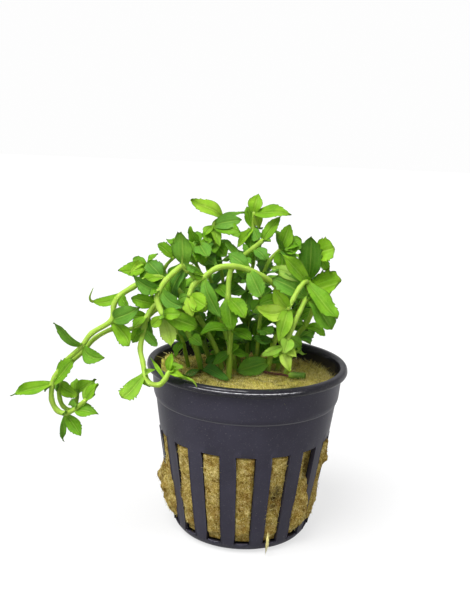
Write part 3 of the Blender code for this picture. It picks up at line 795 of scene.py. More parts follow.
def grow_tuft(growth, spot, way, light, count, rng):
    """The small young leaves at a joint or at the stem's end."""
    for _ in range(count):
        out = sideways(way, rng.uniform(0, 2 * math.pi))
        reach = (out * rng.uniform(0.5, 0.9) + way * rng.uniform(0.4, 1)).normalized() * rng.uniform(2, 3.8)
        if find_room(spot, reach, way, 0.22):
            look = Leaf(*reach, light=light, fold=rng.uniform(0.25, 0.5), blunt=rng.uniform(0, 0.5))
            grow_leaf(growth, spot - way * 0.2, reach, way, look, rng)


def grow_shoot(name, joints, leaves, thick=1.3, light=0.5, pairs=(), more=(), spare=True, tufted=True):
    """One shoot. Each of its leaves takes the first of its ways that ends at a corner of the shoot's solid,
    where it found room in the part. The leaves in more, and tufted and spare ones, are only in the look."""
    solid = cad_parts[name]
    corners = KDTree(len(solid.data.vertices))
    for number, spot in enumerate(corners_of(solid)):
        corners.insert(spot, number)
    corners.balance()
    rng = random.Random(name)
    growth = Growth()
    rooted = [Vector(joints[0]) - Vector((0, 0, PLANTED))] + list(joints[1:])
    route, numbers = curve_through(rooted, STEM_STEP)
    grow_stem(growth, route, numbers, thick, light, rng)
    wanted = [(joint, Vector(leaf[:3]), leaf) for joint, row in leaves.items() for leaf in row]
    for joint in pairs:
        for reach in opposite_pair(way_at(joints, joint), joint, PAIR_LENGTH):
            wanted.append((joint, reach, hidden_leaf(reach, HIDDEN_PAINTED_SHADE + rng.uniform(-0.1, 0.12), rng)))
    for joint, reach, leaf in wanted:
        way, start = way_at(joints, joint), Vector(joints[joint])
        for choice in ways_to_grow(reach, way):
            if corners.find(start + choice)[2] < SAME_TIP:
                base = start - way * 0.4 + choice.normalized() * thick * 0.15
                grow_leaf(growth, base, choice - (base - start), way, leaf, rng)
                break
    for joint, leaf in more:
        way, start, reach = way_at(joints, joint), Vector(joints[joint]), Vector(leaf[:3])
        grow_leaf(growth, start + reach.normalized() * thick * 0.2, reach, way, leaf, rng)
    for joint in sorted({*leaves, *pairs}) if tufted else ():
        young = (0.62, 4) if joint == len(joints) - 1 else (0.5, 2)
        grow_tuft(growth, Vector(joints[joint]), way_at(joints, joint), *young, rng)
    if spare:
        grow_spare_leaves(growth, route, numbers, rng)
    finishes = [stem_finish, leaf_finish, hair_finish]
    piece = new_mesh(name.replace("_shoot", ""), growth.points, growth.faces, finishes, growth.which,
                     growth.marks)
    settle(piece, name)


# The stems are juicy green and paler at the joints, and painted darker near the wool as shade. Their skin is
# a little mottled and lets in some light, and the fine hairs on it are pale.
stem_finish, tree, shader = new_finish("stem_green", Roughness=0.5, Specular_IOR_Level=0.14,
                                       Subsurface_Weight=0.2, Subsurface_Radius=(0.4, 0.8, 0.1),
                                       Subsurface_Scale=0.0008)
mottle, mottle_height = flecks(tree, Scale=900, Low=0.4, High=0.75)
colour = ramp(tree, mark_of(tree, "tone"), (0, linear(72, 108, 36)), (0.5, linear(126, 162, 50)),
              (1, linear(168, 202, 76)))
colour = tinted(tree, colour, mark_of(tree, "across"), 0.3, linear(184, 214, 96))
# Painted shade: the lower part of each stem, near the wool, is painted a deeper green.
colour = mixed(tree, faded(tree, mark_of(tree, "along"), 0, 0.45, 0.4, 0), colour, linear(82, 120, 36))
feed(shader, Base_Color=tinted(tree, colour, mottle, 0.2, linear(176, 212, 84)))
roughen(tree, shader, 0.25, 0.0002, mottle_height)
hair_finish, _, _ = new_finish("stem_hair", Base_Color=linear(178, 206, 120), Roughness=0.5)


# A blade is a little paler along its midrib and side ribs and at its foot, and paler and duller below. A
# darker band beside its midrib is painted shade in the furrow there. Its margin and tip are brown where they
# have aged. Light that falls on one side of it shows on the other.
def rib_at(tree, across, place, half):
    """A soft line down the blade at a share of its half width."""
    off = sums(tree, "ABSOLUTE", sums(tree, "SUBTRACT", across, place))
    return faded(tree, off, half * 0.25, half, 1, 0)


leaf_finish, tree, shader = new_finish("leaf_green", Roughness=0.42, Specular_IOR_Level=0.14)
across = sums(tree, "ABSOLUTE", mark_of(tree, "across"))
along, tone = mark_of(tree, "along"), mark_of(tree, "tone")
blotch, blotch_height = flecks(tree, Scale=330, Roughness=0.62, Low=0.3, High=0.7)
cells = add(tree, "ShaderNodeTexVoronoi", feature="DISTANCE_TO_EDGE", Scale=1300,
            Vector=add(tree, "ShaderNodeTexCoord").outputs["Object"]).outputs["Distance"]
shade = sums(tree, "MULTIPLY_ADD", sums(tree, "SUBTRACT", blotch, 0.5), 0.24, tone)
colour = ramp(tree, shade, (0, linear(46, 92, 18)), (0.3, linear(92, 152, 26)), (0.5, linear(123, 184, 34)),
              (0.7, linear(158, 212, 46)), (0.85, linear(188, 226, 74)), (1, linear(208, 236, 108)))
cooler = mixed(tree, 0.32, colour, linear(96, 158, 88))
colour = mixed(tree, faded(tree, mark_of(tree, "warm"), 0.45, 0.8), colour, cooler)
ribs = faded(tree, cells, 0, 0.09, 0.2, 0)
for place, half, strength in ((0, 0.08, 0.62), (0.36, 0.045, 0.26), (0.68, 0.04, 0.15)):
    ribs = sums(tree, "MAXIMUM", ribs, times(tree, rib_at(tree, across, place, half), strength))
ribs = times(tree, ribs, faded(tree, tone, 0.1, 0.55, 0.35))
# Painted shade: a darker band in the furrow on each side of the midrib.
colour = tinted(tree, colour, rib_at(tree, across, 0.17, 0.14), 0.22, linear(60, 108, 16))
colour = mixed(tree, ribs, colour, linear(184, 214, 92))
colour = tinted(tree, colour, mark_of(tree, "under"), 0.4, linear(140, 180, 78))
colour = mixed(tree, faded(tree, along, 0, 0.2, 0.5, 0), colour, linear(166, 206, 66))
rim_aged = times(tree, faded(tree, across, 0.89, 1, 0, 0.95), sums(tree, "MULTIPLY_ADD", along, 0.6, 0.4))
aged = sums(tree, "MAXIMUM", rim_aged, faded(tree, along, 0.9, 1, 0, 0.7))
colour = mixed(tree, aged, colour, linear(66, 66, 24))
feed(shader, Base_Color=colour)
roughen(tree, shader, 0.7, 0.00028, sums(tree, "MULTIPLY_ADD", blotch_height, 0.8, times(tree, ribs, -1)))
glow = add(tree, "ShaderNodeBsdfTranslucent", Color=mixed(tree, 0.4, colour, linear(176, 214, 40)))
through = add(tree, "ShaderNodeMixShader")
for socket, value in zip(through.inputs, (0.35, shader.outputs[0], glow.outputs[0])):
    give(tree, socket, value)
give(tree, tree.nodes["Material Output"].inputs["Surface"], through.outputs[0])


# Three long shoots have grown out over the left of the lip. Two hang side by side with their ends turned up
# again, and a third makes a loop in front of the pot and comes back to the lip.
STEM_START = 45.85

grow_shoot(
    "trailing_shoot_outer", thick=1.6, light=0.85, pairs=[2, 3], spare=False,
    joints=[(-7, 3, STEM_START), (-8.5, 2, 50.5), (-11, 0.5, 56), (-15, -1, 63), (-20, -4, 70),
            (-24.5, -7.5, 74), (-28, -10, 74), (-31.5, -12, 72), (-34.5, -14, 70), (-36, -15, 67.5),
            (-36.5, -16, 63.5), (-41.5, -17, 60), (-44, -18, 56.5), (-48, -18, 52.5), (-51, -18, 48),
            (-51.8, -18, 45.6), (-52, -18, 41.5), (-50.5, -18, 38.5), (-48, -18.5, 38), (-45, -20, 40),
            (-42, -21, 43)],
    leaves={1: [Leaf(-3.5, -1, -2.5, 3.4, light=0.12)],
            5: [Leaf(-3.9, 1.5, 4.3, 5.2, 30, light=0.46, blunt=0.8, cool=1),
                Leaf(3, -6, -4, 5, light=0.46, fold=0.1, cool=0.3)],
            8: [Leaf(-7.4, -2, -1.4, 3, 20, light=0.6, bow=0.02, fold=0.3, blunt=-0.1, cool=0.1, sag=0.14,
                     curl=(0.8, -0.5, 3.8)),
                Leaf(3, -4, -2.5, light=0.45)],
            10: [Leaf(8, -4, 5, 4.8, 15, light=0.48, fold=0.2, blunt=0, cool=1, sag=0.06),
                 Leaf(5.5, -4, -5.6, 5, light=0.55, blunt=0.7, cool=0, bow=-0.03)],
            12: [Leaf(-6.5, -4, 7, 4.2, 45, light=0.52, sway=0.05, twist=60, blunt=0.6),
                 Leaf(7, -4, -1.5, 4.2, blunt=0, sag=0.15, cool=0.6)],
            15: [Leaf(-11, -2, -3, 3.8, light=0.62, fold=0.35, blunt=0, hair=0.12, cool=0, sag=0.05),
                 Leaf(6.5, -4, 8.5, 5.2, light=0.45, bow=0.03, blunt=0.4, cool=0.2)],
            18: [Leaf(4.5, -2, -5.5, 3.8, bow=-0.02, blunt=0.1, cool=0),
                 Leaf(-1, 2, -9, 1.8, light=0.45, twist=120)],
            19: [Leaf(6.5, -2, -0.5, light=0.55), Leaf(0.5, 5, -1.5)],
            20: [Leaf(3.5, -2, 5, light=0.6), Leaf(1.5, 3, 4.5, light=0.6)]},
    more=[(5, Leaf(-3.4, -6.6, 1, 4.4, 35, light=0.56, bow=0.02, blunt=0.1, cool=0))])
grow_shoot(
    "trailing_shoot_inner", thick=1.4, light=0.8, pairs=[1, 2, 3], spare=False,
    joints=[(-10, 8, STEM_START), (-14, 6, 54), (-18, 3, 61), (-22, -2, 65.5), (-25.5, -6, 65),
            (-28, -9, 63), (-30.5, -12, 61), (-34, -14, 60.5), (-36.5, -14.3, 60.8), (-41, -15, 58.2),
            (-44, -15.7, 54.6), (-48, -15.7, 50.5), (-50.5, -15.5, 45), (-50.5, -15.3, 41),
            (-49.5, -15, 38.5), (-47.5, -14.5, 37.5), (-46.5, -14, 39), (-46, -14, 41.5)],
    leaves={5: [Leaf(-4.2, -1, 0.6, 3.4, 20, light=0.6, blunt=0.3, cool=0), Leaf(2, -3, -5.5)],
            12: [Leaf(6, -5, -1.5, light=0.55), Leaf(-3, 5, -1, light=0.4)],
            16: [Leaf(4.5, 1, -1.5), Leaf(-2, 3, 0)],
            17: [Leaf(5.5, -1.5, 5.5, light=0.55), Leaf(-1, 3, 4, light=0.55)]})
grow_shoot(
    "hanging_loop_shoot", thick=1.6, light=0.9, spare=False,
    joints=[(-13, 2.5, STEM_START), (-14.8, -2, 53), (-16.5, -5, 57.5), (-19, -8, 63), (-22.5, -9.5, 67),
            (-25.5, -11, 67), (-27.5, -13, 64), (-28, -14.5, 61), (-28.5, -17, 56.5), (-27.5, -19, 53.5),
            (-26.5, -21, 50.5), (-25, -23, 49), (-22.5, -24, 49), (-21, -24, 50.5), (-20, -23, 52.5)],
    leaves={2: [Leaf(4, -4, -1.5), Leaf(-4, 1, 2, light=0.45)],
            5: [Leaf(-6.5, -1, 2, light=0.52, blunt=0.4, cool=0), Leaf(3, -3, 3)],
            6: [Leaf(-3, -4, -2, light=0.6, cool=0), Leaf(2, 4, 2, light=0.4)],
            7: [Leaf(3.8, -1.5, -4, 3, blunt=0.5, cool=0.9), Leaf(-3.5, 2, -3.5, cool=0.2)],
            10: [Leaf(-5.4, -4.5, -5, 4.8, light=0.7, fold=0.12, blunt=1, cool=0.6, sag=0.13),
                 Leaf(3.5, -4, 3, 1.8, light=0.75, bow=0.2, blunt=-0.5)],
            14: [Leaf(0.5, 0, 5, 2.2, light=0.6, blunt=-0.2, cool=0.1),
                 Leaf(6, -2, -1.5, 2.4, light=0.7, sway=0.06, twist=70, blunt=-0.5, cool=0.1,
                      curl=(1.6, -0.6, -1.9)),
                 Leaf(3, 3, 1, light=0.65)]},
    more=[(13, Leaf(-4.5, 4, 4.7, 1.1, light=0.6, blunt=-0.5)),
          (0, Leaf(-6.1, -13.7, 1.6, 3.6, light=0.2, bow=0, blunt=-0.1, cool=0.9)),
          (0, Leaf(8.2, -13.6, 1.4, 3.4, light=0.16, bow=0, blunt=-0.2, cool=0.9))])


# Five shoots bend to the left inside the lip. One droops in front in a tight bow, three stand behind it, and
# a short one fills the room below them.
grow_shoot(
    "left_drooping_shoot", thick=1.8, light=0.95, pairs=[1, 2],
    joints=[(-3, 4, STEM_START), (-6, 1, 56), (-10, -3, 67), (-14, -7, 75.5), (-18, -10, 78),
            (-20.5, -12, 76.5), (-22.5, -14, 74.5), (-24, -15, 72), (-24.5, -16, 70), (-23.5, -17, 67.5),
            (-22.5, -18, 66)],
    leaves={4: [Leaf(-1, -2, 9.5, 6, 20, light=0.52, fold=0.15, blunt=0.3, cool=0.8),
                Leaf(-4.5, 3, -9, 6, light=0.36, blunt=0.4, cool=1)],
            7: [Leaf(-7, -1, 4, 4.3, light=0.46, bow=0, fold=0.3, blunt=-0.1, cool=1, sag=0.14),
                Leaf(7.5, -3, -3, 4.2, light=0.42, bow=0.2, blunt=-0.1, cool=1, sag=0.16)],
            10: [Leaf(2.5, -2, -8, 4.8, light=0.92, bow=-0.12, blunt=0.1, cool=0.6),
                 Leaf(9, 1, -3, 5, light=0.52, blunt=0.7, cool=0.4), Leaf(5, -2, 1, light=0.6, cool=0)]},
    more=[(10, Leaf(-2.8, -0.5, -2.8, 3, 20, light=0.6, blunt=0.4, cool=0))])
grow_shoot(
    "upper_left_shoot", thick=1.1, light=0.6, pairs=[1, 2, 3],
    joints=[(-11, 12, STEM_START), (-14, 8, 56), (-18, 4, 64), (-22, -1, 69.5), (-24.5, -4, 73),
            (-23.5, -5.5, 77), (-21, -7, 80)],
    leaves={6: [Leaf(-4.5, -1, 3.5, 4.2, light=0.58, blunt=0.6, cool=0), Leaf(5, 1, 1.5, light=0.45),
                Leaf(0.5, 4, 4, light=0.4)]})
grow_shoot(
    "left_cluster_shoot", thick=1.2, light=0.6, pairs=[1, 2, 3], tufted=False,
    joints=[(-13.5, 9.5, STEM_START), (-17, 10, 57), (-20, 8, 65), (-24, 4, 70.5), (-27, 1, 74),
            (-29.5, -1, 76.5)],
    leaves={5: [Leaf(-7.5, -3, -1.5, 4.8, 35, light=0.62, bow=0.06, fold=0.4, blunt=0.1, cool=0, sag=0.1),
                Leaf(2, -4, -6.5, 4.6, blunt=0, cool=0.2), Leaf(-4, 1, 1.5, light=0.55, cool=0),
                Leaf(3, 2, 3, light=0.4)]},
    more=[(5, Leaf(5.8, -1.5, -1.8, 4.4, 40, light=0.44, blunt=0.4, cool=1)),
          (5, Leaf(-4, -4.5, -2.4, 2, 40, light=0.75, bow=0.3, fold=0.6, blunt=-0.4, cool=0)),
          (4, Leaf(-0.8, -3, -5, 4.6, 20, light=0.46, blunt=0.3, cool=0.3))])
grow_shoot(
    "inner_left_shoot", thick=1.2, light=0.6, pairs=[1, 2, 3],
    joints=[(-6, 9, STEM_START), (-8, 7, 58), (-11, 4.5, 70), (-13.5, 1, 79), (-15, -2, 83.5)],
    leaves={4: [Leaf(-2.5, -1, 4.5, 3.8, 50, cool=0.3), Leaf(3, -6, -3, 5, light=0.46, blunt=0.3, cool=1),
                Leaf(4, -1, 1, cool=0.2), Leaf(-1, 5, 2.5, light=0.35)]},
    more=[(4, Leaf(1.6, -3, -5.5, 4.4, 20, blunt=0.6, cool=0.1)),
          (3, Leaf(5.5, -3, -2.5, 4.6, 25, light=0.4, blunt=0.3, cool=0.8))])
grow_shoot(
    "short_left_shoot", thick=1.2, light=0.6,
    joints=[(-17, 4.5, STEM_START), (-18, 1, 51), (-18.5, -3, 55.5), (-20, -5, 59), (-22.5, -6, 62.5)],
    leaves={2: [Leaf(-2, -3, -4, light=0.4), Leaf(3, 4, 1, light=0.35)],
            4: [Leaf(-4, -1, -2.5, light=0.45), Leaf(3, 2, 4, light=0.45), Leaf(-2, 2, 3, light=0.4)]})


# The tallest shoots stand in the middle. The one at the front grows upright, one arches over to the left in
# front of the others, and one leans to the right.
grow_shoot(
    "top_left_shoot", thick=1.2, light=0.7, pairs=[1, 2, 3], tufted=False,
    joints=[(-2, 10, STEM_START), (-5, 6, 57.5), (-7.5, 3.5, 69.5), (-9, 1.5, 78), (-10.5, 0, 83.5),
            (-11, -0.5, 88.6), (-8.4, 1.5, 90.6)],
    leaves={4: [Leaf(0.5, -4, -2.5), Leaf(4.5, 2, 0, light=0.4)],
            5: [Leaf(7.8, -2.5, 1.9, 4.4, 45, light=0.46, blunt=0.2, cool=0.9),
                Leaf(7.7, -4, -1.5, 4.6, 20, blunt=0.1, cool=0),
                Leaf(0.8, -3, -6.5, 2.8, light=0.75, fold=0.35, blunt=-0.3, cool=0.6),
                Leaf(-2.8, -1.5, -3.6, 3.2, light=0.6, blunt=-0.3, cool=0)],
            6: [Leaf(-9.1, -3.5, 4.7, 5.1, 35, light=0.8, fold=0.12, blunt=0, cool=0)]},
    more=[(5, Leaf(9.3, 1, 3.4, 2, 20, light=0.4, blunt=-0.2, cool=0.6)),
          (4, Leaf(3.2, -2.5, -3.4, 4.4, 20, light=0.42, blunt=0.3)),
          (4, Leaf(-3.4, -2.5, 2.4, 4, 30, blunt=0.2, cool=0))])
grow_shoot(
    "top_shoot", thick=1.2, light=0.8, pairs=[1, 2], tufted=False,
    joints=[(0, 11, STEM_START), (-0.5, 8, 58.5), (-1, 4.5, 69.5), (0.5, 2, 78), (0, 0.5, 84), (0, 0, 88),
            (0, -0.5, 92.5)],
    leaves={3: [Leaf(2, -4, 8), Leaf(-5, -4, 4, light=0.45)],
            5: [Leaf(-2, 1, 5.8, 4, light=0.46, blunt=0.3, cool=0), Leaf(2.5, 4, -0.5, light=0.35)],
            6: [Leaf(1, 1.5, 5, 4.2, light=0.66, fold=0.15, blunt=-0.3, cool=0),
                Leaf(10.3, -3, 0, 4.4, 25, light=0.56, fold=0.15, blunt=0, cool=0, sag=0.04)]},
    more=[(6, Leaf(1.8, 1, -4.6, 3, 20, light=0.75, blunt=-0.4, cool=0)),
          (5, Leaf(1.4, -3.8, -2.8, 3.4, 30, light=0.4, blunt=1, cool=1)),
          (5, Leaf(-4.2, -3.6, -5, 2.4, 20, light=0.72, fold=0.7, blunt=0, cool=0.2)),
          (5, Leaf(-0.9, -2.4, -5.4, 3.2, 20, light=0.34, blunt=0.3, cool=0)),
          (2, Leaf(-1.2, -5.5, -7, 4.4, 30, light=0.42, blunt=0.3, cool=0.7))])
grow_shoot(
    "front_upright_shoot", thick=1.7, light=0.78,
    joints=[(-5, -5, STEM_START), (-5, -6, 54), (-5, -6, 60.5), (-5.5, -6.5, 65), (-6, -6.5, 69.5),
            (-6, -4.5, 74.5), (-5, -4, 78), (-3, -3.5, 80), (0.5, -4, 83), (3, -4, 85.3)],
    leaves={1: [Leaf(-4.5, -1, -4, light=0.25), Leaf(5.5, 1, -2, light=0.3)],
            2: [Leaf(-8.5, -4, -1, light=0.42), Leaf(6, -3, -2.5, light=0.4)],
            4: [Leaf(5, -6, -4.5, 5, blunt=0.5, cool=0.3), Leaf(-4.5, 5, 1.5, light=0.35)],
            7: [Leaf(-5, 1, 4), Leaf(3, -4, -1)],
            9: [Leaf(4.3, 1.2, 6.6, 3.4, blunt=-0.1, cool=0.1), Leaf(2, 4, 2, light=0.4)]},
    more=[(8, Leaf(3.2, -2.5, -2.8, 3.8, 20, light=0.42, blunt=0.3, cool=0.8)),
          (4, Leaf(1.4, -4.6, -8.2, 5.8, 5, light=0.46, blunt=0.2, cool=0.3))])
grow_shoot(
    "arching_shoot", thick=1.7, light=0.9, pairs=[3],
    joints=[(6, 3, STEM_START), (6.4, 2.2, 49), (7.5, 0, 56), (10, 0, 62.5), (9, -4, 69.5), (6.5, -7, 73.5),
            (3, -9, 76), (-1, -11, 78), (-5, -13, 79), (-9, -14, 78.5), (-12.5, -15, 76), (-15, -16, 74),
            (-16, -17, 71)],
    leaves={1: [Leaf(3, 5, 1, light=0.2)],
            2: [Leaf(-6, -4, 1, light=0.35), Leaf(5, 3, 1, light=0.35)],
            7: [Leaf(4, -4, -6.5, 5, light=0.48, blunt=0.8, cool=1),
                Leaf(-5.5, 2, 4, light=0.42, blunt=0.2)],
            10: [Leaf(5, -4, -10, 4.6, blunt=0.4, cool=0.9),
                 Leaf(-7, 2, 4, 2.4, sway=0.12, twist=50, blunt=-0.3, hair=0.15, cool=0.8)],
            12: [Leaf(1.5, -3, -4.5, 4.4, light=0.8, blunt=0.3, cool=0),
                 Leaf(5, -4, -1.5, 5, light=0.74, blunt=0.6, cool=0), Leaf(-3, 2, -1.5, light=0.55)]},
    more=[(1, Leaf(-9, -4.8, -1.8, 6, 30, light=0.47, bow=0.05, blunt=0.3, cool=0.9)),
          (12, Leaf(4.4, -2.5, -3, 4.8, 20, light=0.76, blunt=0.6, cool=0)),
          (10, Leaf(-4.2, -2.5, 1.8, 2.2, 40, light=0.74, fold=0.7, blunt=-0.3, cool=0.9,
                    curl=(-1, -0.3, 4.1))),
          (4, Leaf(-6.4, -1.5, -2, 4.2, 20, blunt=0.3, cool=0))])
grow_shoot(
    "upper_right_shoot", light=0.95, pairs=[1, 3],
    joints=[(2.5, 7.5, STEM_START), (3, 1.5, 59), (3.5, 0, 67.5), (3.5, -2, 75), (5, -3, 79.5),
            (8, -3, 83)],
    leaves={2: [Leaf(3.5, -5, -4, light=0.38), Leaf(-2.5, 4, 3.5, light=0.35)],
            5: [Leaf(2, 1, 6.6, 4.6, light=0.52, blunt=0.1, cool=0.2), Leaf(-2.5, 3, 5.5, 2),
                Leaf(5.5, 1, 2.5, 4.6, light=0.42, cool=0.4), Leaf(-2, -3, 2.5)]},
    more=[(5, Leaf(4.6, -1, 0.4, 4.6, 30, light=0.44, blunt=0.2)),
          (5, Leaf(0.3, -1.5, -5.2, 4.8, 20, light=0.42, blunt=0.4, cool=0.3)),
          (5, Leaf(3.6, -2.6, -3.4, 4.6, 25, light=0.4, blunt=0.4, cool=0.8)),
          (2, Leaf(-2.6, -2, -3, 4.6, 20, light=0.4, blunt=0.3)),
          (2, Leaf(2.2, -3, 3.8, 4.8, 30, light=0.42, blunt=0.3, cool=0.8))])


# On the right one shoot nods and another hangs, both with young pale leaves at their ends. They stand before
# a darker one with broad leaves, which grows upright.
grow_shoot(
    "right_nodding_shoot", thick=1.5, light=0.9, pairs=[1, 2],
    joints=[(9, 6, STEM_START), (10.5, 5, 59), (14.5, 2, 66.5), (16, -4, 72), (15, -8, 75), (13, -11, 73.5),
            (11.5, -13, 71), (10, -14, 68)],
    leaves={4: [Leaf(-8, -4, 8, 5, light=0.62, fold=0.3, blunt=-0.7, cool=0),
                Leaf(8.5, -5, -9, 5.4, light=0.6, bow=0.03, fold=0.25, blunt=0.4, cool=0.5, sag=0.07)],
            7: [Leaf(-4, -2, 6, 4.4, 25, light=0.8, blunt=0, cool=0.1),
                Leaf(-8.5, -4, 1.5, 4.8, light=0.84, bow=-0.03, blunt=0, cool=0.2, sag=0.17),
                Leaf(-2, -3, -8.5, 4.4, light=0.75), Leaf(2, 2, -4, light=0.6)]},
    more=[(4, Leaf(-9.8, 2.5, 2.9, 4.2, 10, light=0.85, blunt=-0.2, cool=1))])
grow_shoot(
    "right_hanging_shoot", thick=1.5, light=0.9, pairs=[1],
    joints=[(11, 1, STEM_START), (13.5, -1, 57), (16, -2, 61.5), (17.5, -5, 67), (15.5, -9, 70.5),
            (13.5, -12, 67.5), (11.5, -14, 63), (10.5, -15, 60.5), (9.5, -16, 58.3), (9, -16, 57)],
    leaves={2: [Leaf(5.5, -2, -2.5, light=0.45), Leaf(-4.5, -4, 1.5)],
            4: [Leaf(7, -2, -8, light=0.42, blunt=0.8), Leaf(-10.5, 1, 3, 6, blunt=0.6, cool=1)],
            7: [Leaf(-1.5, -4, -3, 4, light=0.85), Leaf(4, 3, -3, light=0.6)],
            8: [Leaf(3.5, -2, -2, light=0.85), Leaf(-6, -2, -2, 2.4, light=0.8)],
            9: [Leaf(2.5, -2, -5, 3.2, light=0.88)]})
grow_shoot(
    "dark_right_shoot", thick=1.2, light=0.55, pairs=[2],
    joints=[(12, 10, STEM_START), (12.4, 9.8, 50), (13, 9, 60.5), (15.5, 6.5, 68), (16.5, 3.5, 73.5),
            (18, 3, 77), (18.2, 2, 81.5)],
    leaves={1: [Leaf(5.5, 4, -1.5, 3, light=0.75)],
            3: [Leaf(9.6, -8.5, 6.4, 8.6, 62, light=0.6, fold=0.1, blunt=1, cool=0)],
            4: [Leaf(-0.5, -6, 13.2, 6.4, 70, light=0.44, fold=0.12, blunt=0.7, cool=0.75)],
            6: [Leaf(4.6, -3, 2, 6.9, 65, light=0.62, bow=0.2, fold=0.35, blunt=1, cool=0),
                Leaf(2.4, -2, -5.6, 3.2, 30, light=0.45, blunt=0.2, cool=0), Leaf(-7, 1, 1.5, light=0.42)]})


# Three more shoots fill the back. They can't be seen from the front but for the light between them, so their
# joints and leaves are guessed from the others.
grow_shoot(
    "back_left_shoot", pairs=[1, 2, 3],
    joints=[(-6, 14, STEM_START), (-9, 17, 56), (-13, 18, 66), (-17, 16, 75), (-20, 12, 80)],
    leaves={4: [Leaf(-6, 3, 2, light=0.45), Leaf(4, -5, 2, light=0.45), Leaf(-2, -3, 5, light=0.45)]})
grow_shoot(
    "back_shoot", pairs=[1, 2, 3],
    joints=[(3, 14, STEM_START), (4, 17, 57), (4, 18, 68), (2, 15, 77), (-1, 12, 82)],
    leaves={4: [Leaf(-6, 2, 3, light=0.45), Leaf(5, 3, 3, light=0.45), Leaf(0, -4, 5, light=0.45)]})
grow_shoot(
    "back_right_shoot", pairs=[1, 2, 3],
    joints=[(8, 14, STEM_START), (12, 17, 56), (15, 17, 65), (17, 14, 72), (17, 11, 77)],
    leaves={4: [Leaf(5, 2, 2, light=0.45), Leaf(-5, 2, 3, light=0.45), Leaf(0, 5, 3, light=0.45)]})


# A stub of a stem was cut off and lies on the wool at the front right, with its pale green cut end showing
# and a brown root trailing from it.
STUB_SIDES, ROOT_SIDES = 16, 6
ROOT_STEP = 0.6
ROOT = 1

growth = Growth()
rings, marks = [], []
for x, y, z, radius, tone, pale in ((12, -3.4, 46.95, 0.5, 0.5, 1), (12.2, -3.45, 46.95, 0.86, 0.4, 0.6),
                                    (13, -3.6, 46.96, 0.98, 0.2, 0.1), (14.5, -3.85, 47, 1, 0, 0),
                                    (15.8, -4.05, 47.05, 0.98, 0, 0), (16.45, -4.2, 47.1, 0.95, 0.1, 0.2),
                                    (16.5, -4.25, 47.1, 0.86, 0.2, 0.6), (16.45, -4.2, 47.1, 0.74, 0, 0),
                                    (15.2, -3.95, 47.02, 0.66, 0, 0)):
    rings.append([Vector((x, y, z)) + radius * Vector((0.35 * math.cos(a), math.cos(a), math.sin(a)))
                  for a in [2 * math.pi * side / STUB_SIDES for side in range(STUB_SIDES)]])
    marks.append([{"across": pale, "along": 0.45, "tone": tone}] * STUB_SIDES)
growth.tube(rings, marks, STEM)
for joints, thick in (([(12.4, -3.4, 46.6), (10.5, -1.7, 46.5), (8.1, -0.6, 46.4), (4.4, 0.6, 46.4)], 0.3),
                      ([(12.4, -3.6, 46.4), (10, -2.6, 46.5), (7, -2, 46.4), (4.8, -0.4, 46.3)], 0.13)):
    route, _ = curve_through(joints, ROOT_STEP)
    growth.strand(route, thick, ROOT, ROOT_SIDES)
root_finish, _, _ = new_finish("brown_root", Base_Color=linear(84, 44, 28), Roughness=0.7)
finishes = [stem_finish, root_finish]
stub = new_mesh("stem_stub", growth.points, growth.faces, finishes, growth.which, growth.marks)
settle(stub, "cut_stem_stub")


# The pot stands on plain white paper in soft light from all round, with a stronger one from the upper left.
# The paper and the wall behind it are seen whiter than they light the pot, as in a picture exposed for the
# plant. A strip of light in front gives the lip its highlight.
WHITE = (1, 1, 1, 1)
SEEN_WHITE, SOFT_LIGHT = 0.985, 0.63
SHINE, STRIP_SHINE = -0.22, 36
STRIP_TILT = (0.02, 0.1, 1)
STRIP_HALF, STRIP_EDGE = 0.035, 0.05
PAPER_GREY, PAPER_GLOW, PAPER_SEEN = 0.25, 0.14, 0.535
PAPER_HALF, PAPER_LOW = 4000, -0.02
SUN_STRENGTH, SUN_SIZE = 3.8, 38
SUN_FROM = (-0.35, -0.45, 1)

paper, tree, shader = new_finish("white_paper", Base_Color=(PAPER_GREY, PAPER_GREY, PAPER_GREY, 1),
                                 Roughness=0.9, Specular_IOR_Level=0, Emission_Color=WHITE)
seen = add(tree, "ShaderNodeLightPath").outputs["Is Camera Ray"]
feed(shader, Emission_Strength=sums(tree, "MULTIPLY_ADD", seen, PAPER_SEEN, PAPER_GLOW))
floor = new_mesh("floor", [Vector((x * PAPER_HALF, y * PAPER_HALF, PAPER_LOW))
                           for x, y in ((-1, -1), (1, -1), (1, 1), (-1, 1))], [(0, 1, 2, 3)], [paper])

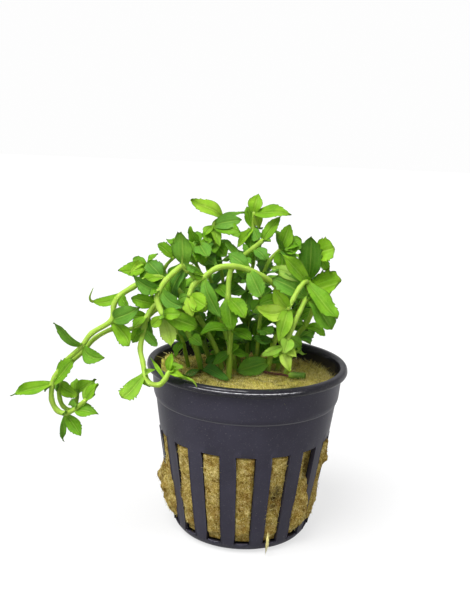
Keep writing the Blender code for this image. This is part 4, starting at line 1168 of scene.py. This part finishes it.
world = bpy.data.worlds.new("studio")
world.use_nodes = True
tree = world.node_tree
rays = add(tree, "ShaderNodeLightPath").outputs
strength = sums(tree, "MULTIPLY_ADD", rays["Is Camera Ray"], SEEN_WHITE - SOFT_LIGHT, SOFT_LIGHT)
looking = add(tree, "ShaderNodeTexCoord").outputs["Generated"]
off_strip = add(tree, "ShaderNodeVectorMath", operation="DOT_PRODUCT")
give(tree, off_strip.inputs[0], looking)
give(tree, off_strip.inputs[1], STRIP_TILT)
off_strip = sums(tree, "ABSOLUTE", off_strip.outputs["Value"])
strip = faded(tree, off_strip, STRIP_EDGE, STRIP_HALF, 0, STRIP_SHINE)
in_front = faded(tree, add(tree, "ShaderNodeSeparateXYZ", Vector=looking).outputs["Y"], -0.45, -0.7)
shine = sums(tree, "MULTIPLY_ADD", strip, in_front, SHINE)
strength = sums(tree, "MULTIPLY_ADD", rays["Is Glossy Ray"], shine, strength)
feed(tree.nodes["Background"], Color=WHITE, Strength=strength)
bpy.context.scene.world = world
lamp = bpy.data.lights.new("soft_box", "SUN")
lamp.energy = SUN_STRENGTH
lamp.angle = math.radians(SUN_SIZE)
holder = bpy.data.objects.new("soft_box", lamp)
holder.rotation_euler = (-Vector(SUN_FROM)).to_track_quat("-Z", "Y").to_euler()
bpy.context.scene.collection.objects.link(holder)


# The camera stands in front of the plant, a little above it, and looks slightly down. Its place, its turns
# and its lens were fitted to the photo.
YAW, PITCH_DOWN, ROLL = (math.radians(v) for v in (-1.15, 11.42, 2.33))
CAMERA_AT = (0, -0.213, 0.1109)
SENSOR, FOCAL_LENGTH = 36, 46.32

forward = Vector((math.sin(YAW) * math.cos(PITCH_DOWN), math.cos(YAW) * math.cos(PITCH_DOWN),
                  -math.sin(PITCH_DOWN)))
level = forward.cross(Vector((0, 0, 1))).normalized()
upright = level.cross(forward)
right = level * math.cos(ROLL) + upright * math.sin(ROLL)
up = upright * math.cos(ROLL) - level * math.sin(ROLL)
lens = bpy.data.cameras.new("camera")
lens.sensor_width = SENSOR
lens.lens = FOCAL_LENGTH
lens.clip_start = 0.01
camera = bpy.data.objects.new("camera", lens)
camera.matrix_world = Matrix.Translation(CAMERA_AT) @ Matrix((right, up, -forward)).transposed().to_4x4()
bpy.context.scene.collection.objects.link(camera)
bpy.context.scene.camera = camera
bpy.context.scene.view_settings.view_transform = "Standard"
